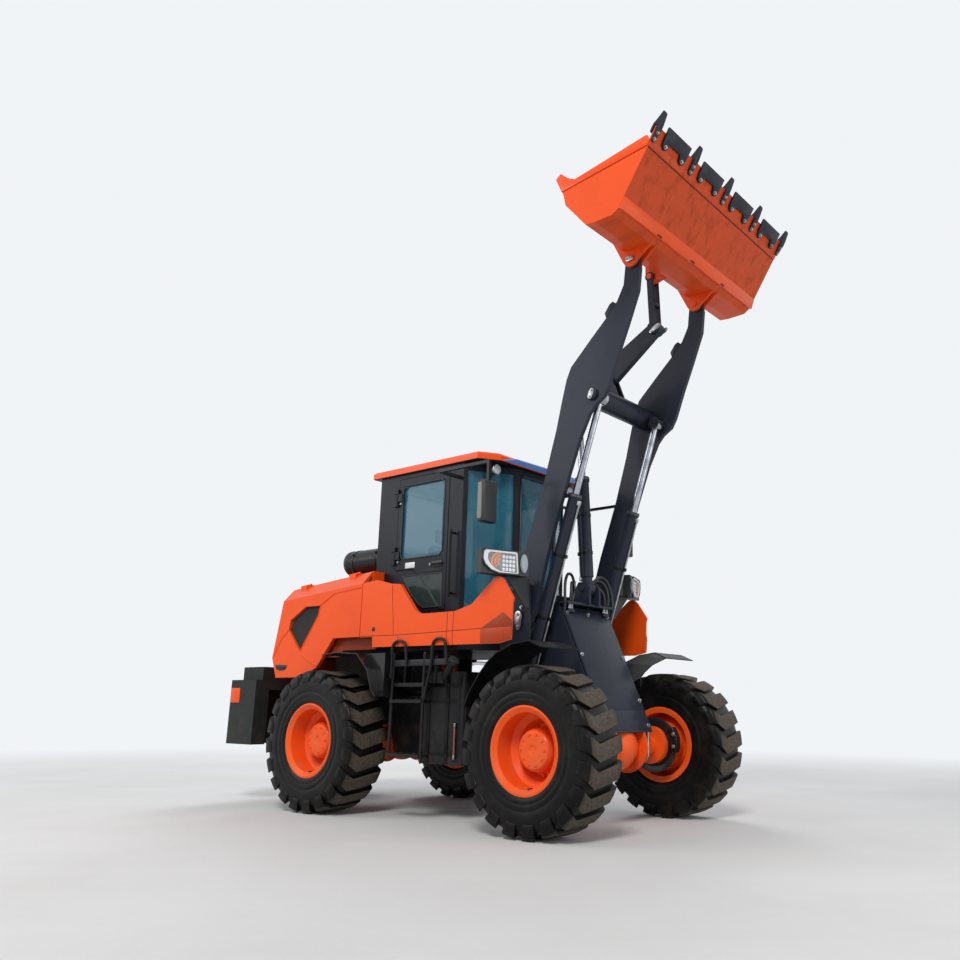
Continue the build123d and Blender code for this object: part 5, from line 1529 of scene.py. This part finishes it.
cushion = pad("seat_cushion", (-640, -225, 1735), (-200, 225, 1850))
pad("seat_back", (-735, -215, 1850), (-625, 215, 2370), -0.12)
pad("seat_headrest", (-790, -120, 2385), (-715, 120, 2520), -0.05, 6)
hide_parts("driver_seat")
base = slab_up("seat_base", rect(-600, -240, -180, 180), 1335, 1720)
done(base, "rear_body", black_plastic, bevel=14, segments=3)
pan = slab_up("seat_pan", rect(-655, -190, -215, 215), 1714, 1740)
done(pan, "rear_body", black_metal, bevel=8)
for number, y in enumerate((-60, 60)):
    post = tube(f"headrest_post_{number}", [(-752, y, 2340), (-762, y, 2430)], 7, smooth=False)
    done(post, "rear_body", zinc, bevel=0, angle=60)
for side, out in SIDES:
    rest_pad = slab_up(side + "_armrest", rect(-640, -330, out * 238, out * 292), 2010, 2050)
    done(rest_pad, "rear_body", black_plastic, bevel=14, segments=3)
    strut = tube(side + "_armrest_strut", [(-640, out * 262, 2010), (-680, out * 250, 1900),
                                           (-690, out * 225, 1880)], 11)
    done(strut, "rear_body", black_metal, bevel=0, angle=60)
print("seat pads 3, hard parts 8")

# %% [markdown]
# Beside the seat stand two hydraulic levers with round knobs on a dark console,
# and the steering column rises out of a dashboard.

# %% Levers and dashboard
for number, y in enumerate((-300, -345)):
    stick = tube(f"lever_{number}", [(-330, y, 1700), (-326, y, 1850), (-316, y, 1960)], 7)
    done(stick, "rear_body", zinc, bevel=0, angle=60)
    knob = turned(f"lever_knob_{number}", [(-26, 0), (-24, 12), (-6, 24), (14, 22), (24, 12),
                                           (26, 0)], at(-314, y, 1985), (0.05, 0, 1), steps=24)
    done(knob, "rear_body", black_plastic, bevel=0, angle=50)
box = slab_up("lever_console", rect(-480, -200, -400, -262), 1335, 1702)
done(box, "rear_body", black_plastic, bevel=12, segments=3)
dash = swept("dashboard", [(340, -230, 1700), (340, -230, 1965), (250, -230, 2010),
                           (180, -230, 1990), (200, -230, 1700)], (0, 460, 0))
done(dash, "rear_body", black_plastic, bevel=14, segments=3)
print("controls 6")

# %% [markdown]
# ## Bonnet and side panels
#
# The bonnet's sides are thin moulded panels with creases, seams and a
# diamond-shaped opening filled with black mesh. The mesh is a grid turned on its
# corner, cut by the opening's own edges, thinned to wires and backed by a dark
# sheet, so that nothing of the engine shows through.

# %% Mesh grilles
MESH_FACE, SHEET_FACE = 918, 940
MESH_X, MESH_Z = -1575, 1560
BACKING_SCALE = 1.06
DIAMOND = [(-1560, 1755), (-1345, 1752), (-1370, 1660), (-1600, 1345), (-1790, 1548), (-1770, 1640)]


def mesh_grille(side, out):
    """Expanded mesh behind the diamond opening of an engine door."""
    y = out * MESH_FACE
    made = start(side + "_side_mesh", "grid", x_subdivisions=46, y_subdivisions=46, size=0.78)
    turn = Matrix.Rotation(math.pi / 2, 4, "X") @ Matrix.Rotation(math.pi / 4, 4, "Z")
    made.data.transform(Matrix.Translation(at(MESH_X, y, MESH_Z - 10)) @ turn)
    edit_all(made)
    inside = at(MESH_X, y, MESH_Z)
    for k, (x, z) in enumerate(DIAMOND):
        nx, nz = DIAMOND[(k + 1) % len(DIAMOND)]
        normal = Vector((z - nz, 0, nx - x)).normalized()
        edge_place = at(x, y, z)
        if (inside - edge_place).dot(normal) > 0:
            normal = -normal
        bpy.ops.mesh.select_all(action="SELECT")
        bpy.ops.mesh.bisect(plane_co=edge_place + normal * 0.012, plane_no=normal, clear_outer=True)
    bpy.ops.object.mode_set(mode="OBJECT")
    modified(made, "WIREFRAME", thickness=0.005, use_even_offset=False)
    done(made, side + "_engine_door", mesh_grey, bevel=0, angle=20)
    wider = [((x - MESH_X) * BACKING_SCALE + MESH_X,
              (z - MESH_Z) * BACKING_SCALE + MESH_Z) for x, z in DIAMOND]
    backing = plate(side + "_mesh_backing", wider, out * 905, out * 909)
    done(backing, side + "_engine_door", grille_black, bevel=0)
    lip = []
    for k, (x, z) in enumerate(DIAMOND):
        nx, nz = DIAMOND[(k + 1) % len(DIAMOND)]
        lip.append(tube("lip", [(x, out * 941, z), (nx, out * 941, nz)], 5, smooth=False))
    done(joined(lip, side + "_mesh_lip"), side + "_engine_door", body_orange,
         bevel=0, angle=60)


for side, out in SIDES:
    mesh_grille(side, out)
print("side meshes", len(SIDES))

# %% [markdown]
# Pressed creases give the door its stiffness, and a low ridge is the simplest way to
# draw one: a shallow three-sided bar laid on the sheet. Seams between panels are
# thin dark grooves. Latches are round locks with a slotted face, and a lifting
# handle hangs low by the tail.

# %% Creases, seams, locks
CREASE_WIDE, SEAM_WIDE = 9, 5


def crease(name, path, out, high, body):
    """A pressed ridge along a path of (x, z) places on a side sheet."""
    foot, ridge = out * SHEET_FACE, out * (SHEET_FACE + high)
    bars = []
    for (x0, z0), (x1, z1) in zip(path, path[1:]):
        way = Vector((x1 - x0, z1 - z0)).normalized()
        side = Vector((-way.y, way.x)) * CREASE_WIDE
        corners = [(x0 + side.x, foot, z0 + side.y), (x0, ridge, z0),
                   (x0 - side.x, foot, z0 - side.y)]
        bars.append(swept(name, corners, (x1 - x0, 0, z1 - z0)))
    done(joined(bars, name), body, body_orange, bevel=1, angle=20)


def flat_strip(name, a, b, wide, y0, y1):
    """A flat bar between two (x, z) places, wide millimetres across."""
    a, b = Vector(a), Vector(b)
    side = (b - a).normalized().orthogonal() * wide / 2
    return plate(name, [tuple(a + side), tuple(b + side), tuple(b - side), tuple(a - side)], y0, y1)


def groove(name, path, out):
    """A dark seam along a path of (x, z) places on a side sheet."""
    back, front = out * (SHEET_FACE - 2), out * (SHEET_FACE + 0.6)
    bars = [flat_strip(name, a, b, SEAM_WIDE, back, front) for a, b in zip(path, path[1:])]
    done(joined(bars, name), "rear_body", seam_dark, bevel=0)


SEAMS = {
    "panel_seam": [(-772, 1452), (-320, 1446), (160, 1452), (930, 1466)],
    "panel_joint": [(-404, 1866), (-358, 1456)],
    "low_joint": [(-303, 1444), (-293, 1352)],
    "tip_joint": [(262, 1598), (262, 1352)],
    "tip_joint_front": [(328, 1598), (328, 1352)],
}
CREASES = {
    "rise": ([(-1345, 1752), (-1160, 1848), (-800, 1876)], 9),
    "tail": ([(-1790, 1548), (-1890, 1470), (-1990, 1310)], 9),
    "low": ([(-1600, 1345), (-1520, 1290), (-1345, 1215)], 9),
    "up": ([(-1560, 1755), (-1600, 1812)], 8),
}
for side, out in SIDES:
    door = side + "_engine_door"
    for part, (path, high) in CREASES.items():
        crease(f"{side}_door_crease_{part}", path, out, high, door)
    for part, path in SEAMS.items():
        groove(f"{side}_{part}", path, out)
    lock = turned(side + "_panel_lock", [(0, 0), (0, 17), (6, 17), (8, 14), (8, 0)],
                  at(-608, out * SHEET_FACE, 1506), (0, out, 0), steps=24)
    done(lock, "rear_body", black_plastic, bevel=0.6)
    slotted = plate(side + "_panel_lock_slot", rect(-610.5, -605.5, 1496, 1516), out * 948,
                    out * 949)
    done(slotted, "rear_body", black_trim, bevel=0)
    pull = tube(side + "_door_pull", [
        (-1922, out * 938, 1214), (-1922, out * 950, 1214), (-1900, out * 954, 1212),
        (-1820, out * 954, 1208), (-1798, out * 950, 1207), (-1798, out * 938, 1207),
    ], 6)
    done(pull, door, black_metal, bevel=0, angle=60)
    recess = plate(side + "_pull_recess", [
        (-1950, 1238), (-1770, 1230), (-1778, 1204), (-1806, 1184), (-1880, 1180), (-1930, 1196),
    ], out * 938, out * 943)
    done(recess, door, black_plastic, bevel=2)
for side, out in SIDES:
    # The nose facet and the low facet are thin sheets of deeper orange. They are painted shade on
    # the pressed-in facet, which faces the ground.
    facet = plate(side + "_nose_facet", [(622, 1459), (848, 1574), (940, 1510), (941, 1459)],
                  out * 939, out * 941.5)
    done(facet, "rear_body", painted_recess_shade, bevel=1)
    low_facet = plate(side + "_nose_low", [(622, 1455), (940, 1455), (931, 1370), (815, 1346),
                                           (622, 1346)], out * 939, out * 941.5)
    done(low_facet, "rear_body", nose_low, bevel=1)
    # The arch liner's deeper orange is painted shade in the recess over the rear wheel.
    liner = plate(side + "_arch_liner", [(-1330, 1290), (-1190, 1475), (-640, 1475), (-640, 1344),
                                         (-1080, 1344), (-1120, 1290)], out * 868, out * 872)
    done(liner, "rear_body", painted_recess_shade, bevel=1)

# %% [markdown]
# The top of the bonnet carries the seam of its lid and the
# air cleaner with its two straps and tapered end cap.

# %% Air cleaner and bonnet top
CLEANER_Y, CLEANER_Z = -430, 2210
for number, x in enumerate((-1440, -1120)):
    strap = turned(f"cleaner_strap_{number}", [(-16, 119), (-16, 123.5), (16, 123.5), (16, 119)],
                   at(x, CLEANER_Y, CLEANER_Z), (1, 0, 0), steps=56)
    done(strap, "rear_body", black_metal, bevel=1)
    latch = start(f"cleaner_latch_{number}", "cube", size=0.001)
    place = Matrix.Translation(at(x, -540, 2268)) @ Matrix.Rotation(0.5, 4, "X")
    latch.data.transform(place @ Matrix.Diagonal((26, 16, 34, 1)))
    done(latch, "rear_body", dark_steel, bevel=2)
end_cap = turned("cleaner_cap", [
    (-78, 0), (-78, 20), (-70, 24), (-44, 24), (-38, 58), (-8, 104), (4, 122), (34, 124), (40, 121),
    (40, 0),
], at(-1560, CLEANER_Y, CLEANER_Z), (1, 0, 0), steps=56)
done(end_cap, "rear_body", black_plastic, bevel=1.5)
SEAM_X = -1340
top = 1940 + (SEAM_X + 1900) * 90 / 1120
seam = swept("bonnet_seam", upright(SEAM_X, -800, 800, top - 2, top + 0.7), (5, 0, 0.4))
done(seam, "rear_body", seam_dark, bevel=0)
print("bonnet pieces 6")

# %% [markdown]
# ## Steps and tanks
#
# Each tank carries two straps, a filler neck with its lid and a level gauge. A board
# and two hoops to hold on to stand over the steps. Step treads are punched upwards
# so a muddy boot holds, which shows as rows of raised rings.

# %% Tank and ladder details
GAUGE_X, GAUGE_Y = 186, 731
LID_WAY = (0.68, 0, 0.73)
for side, out in SIDES:
    for number, x in enumerate((-120, 90)):
        made = plate(f"{side}_tank_band_{number}", rect(x - 16, x + 16, 434, 1146), out * 722,
                     out * 726)
        done(made, "rear_body", black_trim, bevel=1.5)
    tube_glass = tube(side + "_tank_gauge", [(GAUGE_X, out * GAUGE_Y, 500),
                                             (GAUGE_X, out * GAUGE_Y, 730)], 7, smooth=False)
    done(tube_glass, "rear_body", gauge_red, bevel=0, angle=60)
    for number, z in enumerate((490, 735)):
        fitting = turned(f"{side}_gauge_fitting_{number}", [(-14, 0), (-14, 11), (14, 11), (14, 0)],
                         at(GAUGE_X, out * GAUGE_Y, z), (0, 0, 1), steps=6)
        done(fitting, "rear_body", zinc, bevel=1)
    neck = tube(side + "_filler_neck", [(150, out * 800, 1070), (196, out * 870, 1118),
                                        (286, out * 884, 1214)], 34, smooth=False)
    done(neck, "rear_body", black_metal, bevel=0, angle=60)
    lid = turned(side + "_filler_lid", [(-4, 0), (-4, 42), (2, 46), (30, 46), (36, 40), (40, 30),
                                        (40, 0)], at(284, out * 884, 1212), LID_WAY, steps=36)
    done(lid, "rear_body", frame_dark, bevel=1)
    grid = []
    for z in (500, 915):
        for x in (-300, -230, -160, -90, -20):
            grid.append(turned("stud", [(0, 4), (0, 11), (5, 9), (6, 7), (6, 4)],
                               at(x, out * 895, z + 15), (0, 0, 1), steps=12))
    done(joined(grid, side + "_step_studs"), "rear_body", black_metal, bevel=0,
         angle=50)
    board = plate(side + "_step_board", [(-352, 1190), (300, 1196), (300, 1242), (-352, 1242)],
                  out * 930, out * 940)
    done(board, "rear_body", frame_dark, bevel=2)
    near = [
        (-346, out * 950, 1096), (-346, out * 950, 1240), (-346, out * 956, 1346),
        (-318, out * 956, 1386), (-264, out * 956, 1400), (-198, out * 956, 1378),
        (-178, out * 956, 1338), (-168, out * 950, 1200),
    ]
    done(tube(side + "_hoop_rear", near, 12), "rear_body", black_metal, bevel=0,
         angle=60)
    front = [
        (52, out * 950, 936), (54, out * 950, 980), (122, out * 954, 1186), (124, out * 956, 1354),
        (148, out * 956, 1390), (196, out * 956, 1402), (254, out * 956, 1386),
        (276, out * 956, 1348), (282, out * 950, 1200),
    ]
    done(tube(side + "_hoop_front", front, 12), "rear_body", black_metal, bevel=0,
         angle=60)
print("tank and step pieces in all", 2 * 11)

# %% [markdown]
# ## Counterweight and tail
#
# The counterweight is a rough casting. A blank orange plate sits on each of its
# sides, and the towing pin has a ring to pull it by.

# %% Counterweight
for side, out in SIDES:
    marker = plate(side + "_weight_plate", rect(-2632, -2486, 894, 1030), out * 930, out * 934)
    done(marker, "rear_body", body_orange, bevel=2)
ring = turned("tow_pin_ring", [(-5, 34), (0, 39), (5, 34), (0, 29)], at(-2610, 0, 868), (1, 0, 0.1),
              steps=32)
done(ring, "rear_body", zinc, bevel=0, angle=60)
print("counterweight pieces 3")

# %% [markdown]
# ## Axles
#
# The front axle is clamped to its frame by heavy U-shaped bolts, which are bright
# and easy to see between the wheels. Inside each wheel sits a brake disc with its
# caliper, and a bolted flange closes the middle of the axle.

# %% U-bolts, brakes
U_BOLT_HALF = 104


def u_bolt(name, x, y, body):
    """A bright bolt bent over an axle tube, with its two nuts."""
    bend = [(-1, 735), (-1, 560), (-1, 500), (-0.7, 468), (0, 452), (0.7, 468), (1, 500), (1, 560),
            (1, 735)]
    path = [(x + s * U_BOLT_HALF, y, z) for s, z in bend]
    done(tube(name, path, 11), body, zinc, bevel=0, angle=60)
    bolts(name + "_nuts", [(x + s * U_BOLT_HALF, y, 726) for s in (-1, 1)], (0, 0, 1), 34, body,
          zinc)


for end, x, body in (("front", AXLE_X, "front_body"), ("rear", -AXLE_X, "rear_body")):
    for side, out in SIDES:
        if end == "front":
            for number, y in enumerate((300, 360)):
                u_bolt(f"{side}_u_bolt_{number}", x, out * y, body)
        disc = turned(f"{end}_{side}_brake_disc", [(612, 155), (612, 222), (626, 222), (626, 155)],
                      at(x, 0, AXLE_Z), (0, out, 0), steps=64)
        done(disc, body, dark_steel, bevel=1.5)
        hat = turned(f"{end}_{side}_brake_hat", [(600, 150), (600, 172), (640, 172), (644, 150)],
                     at(x, 0, AXLE_Z), (0, out, 0), steps=48)
        done(hat, body, black_metal, bevel=2)
        caliper = plate(f"{end}_{side}_caliper", [
            (x + 120, AXLE_Z + 96), (x + 196, AXLE_Z + 148), (x + 236, AXLE_Z + 70),
            (x + 242, AXLE_Z), (x + 224, AXLE_Z - 60), (x + 150, AXLE_Z - 40),
            (x + 158, AXLE_Z + 20),
        ], out * 586, out * 652)
        done(caliper, body, black_metal, bevel=9, segments=3)
        pads = [(x + 205, out * 586, AXLE_Z + 88), (x + 205, out * 586, AXLE_Z - 8)]
        bolts(f"{end}_{side}_caliper_bolts", pads, (0, -out, 0), 20, body, zinc)
        flange = turned(f"{end}_{side}_axle_flange", [(188, 130), (188, 206), (202, 206),
                                                      (202, 130)], at(x, 0, AXLE_Z), (0, out, 0),
                        steps=64)
        done(flange, body, axle_orange, bevel=2)
        places = [(x + a, out * 202, AXLE_Z + b) for a, b in ring_of(12, 192)]
        bolts(f"{end}_{side}_flange_bolts", places, (0, out, 0), 16, body, axle_orange)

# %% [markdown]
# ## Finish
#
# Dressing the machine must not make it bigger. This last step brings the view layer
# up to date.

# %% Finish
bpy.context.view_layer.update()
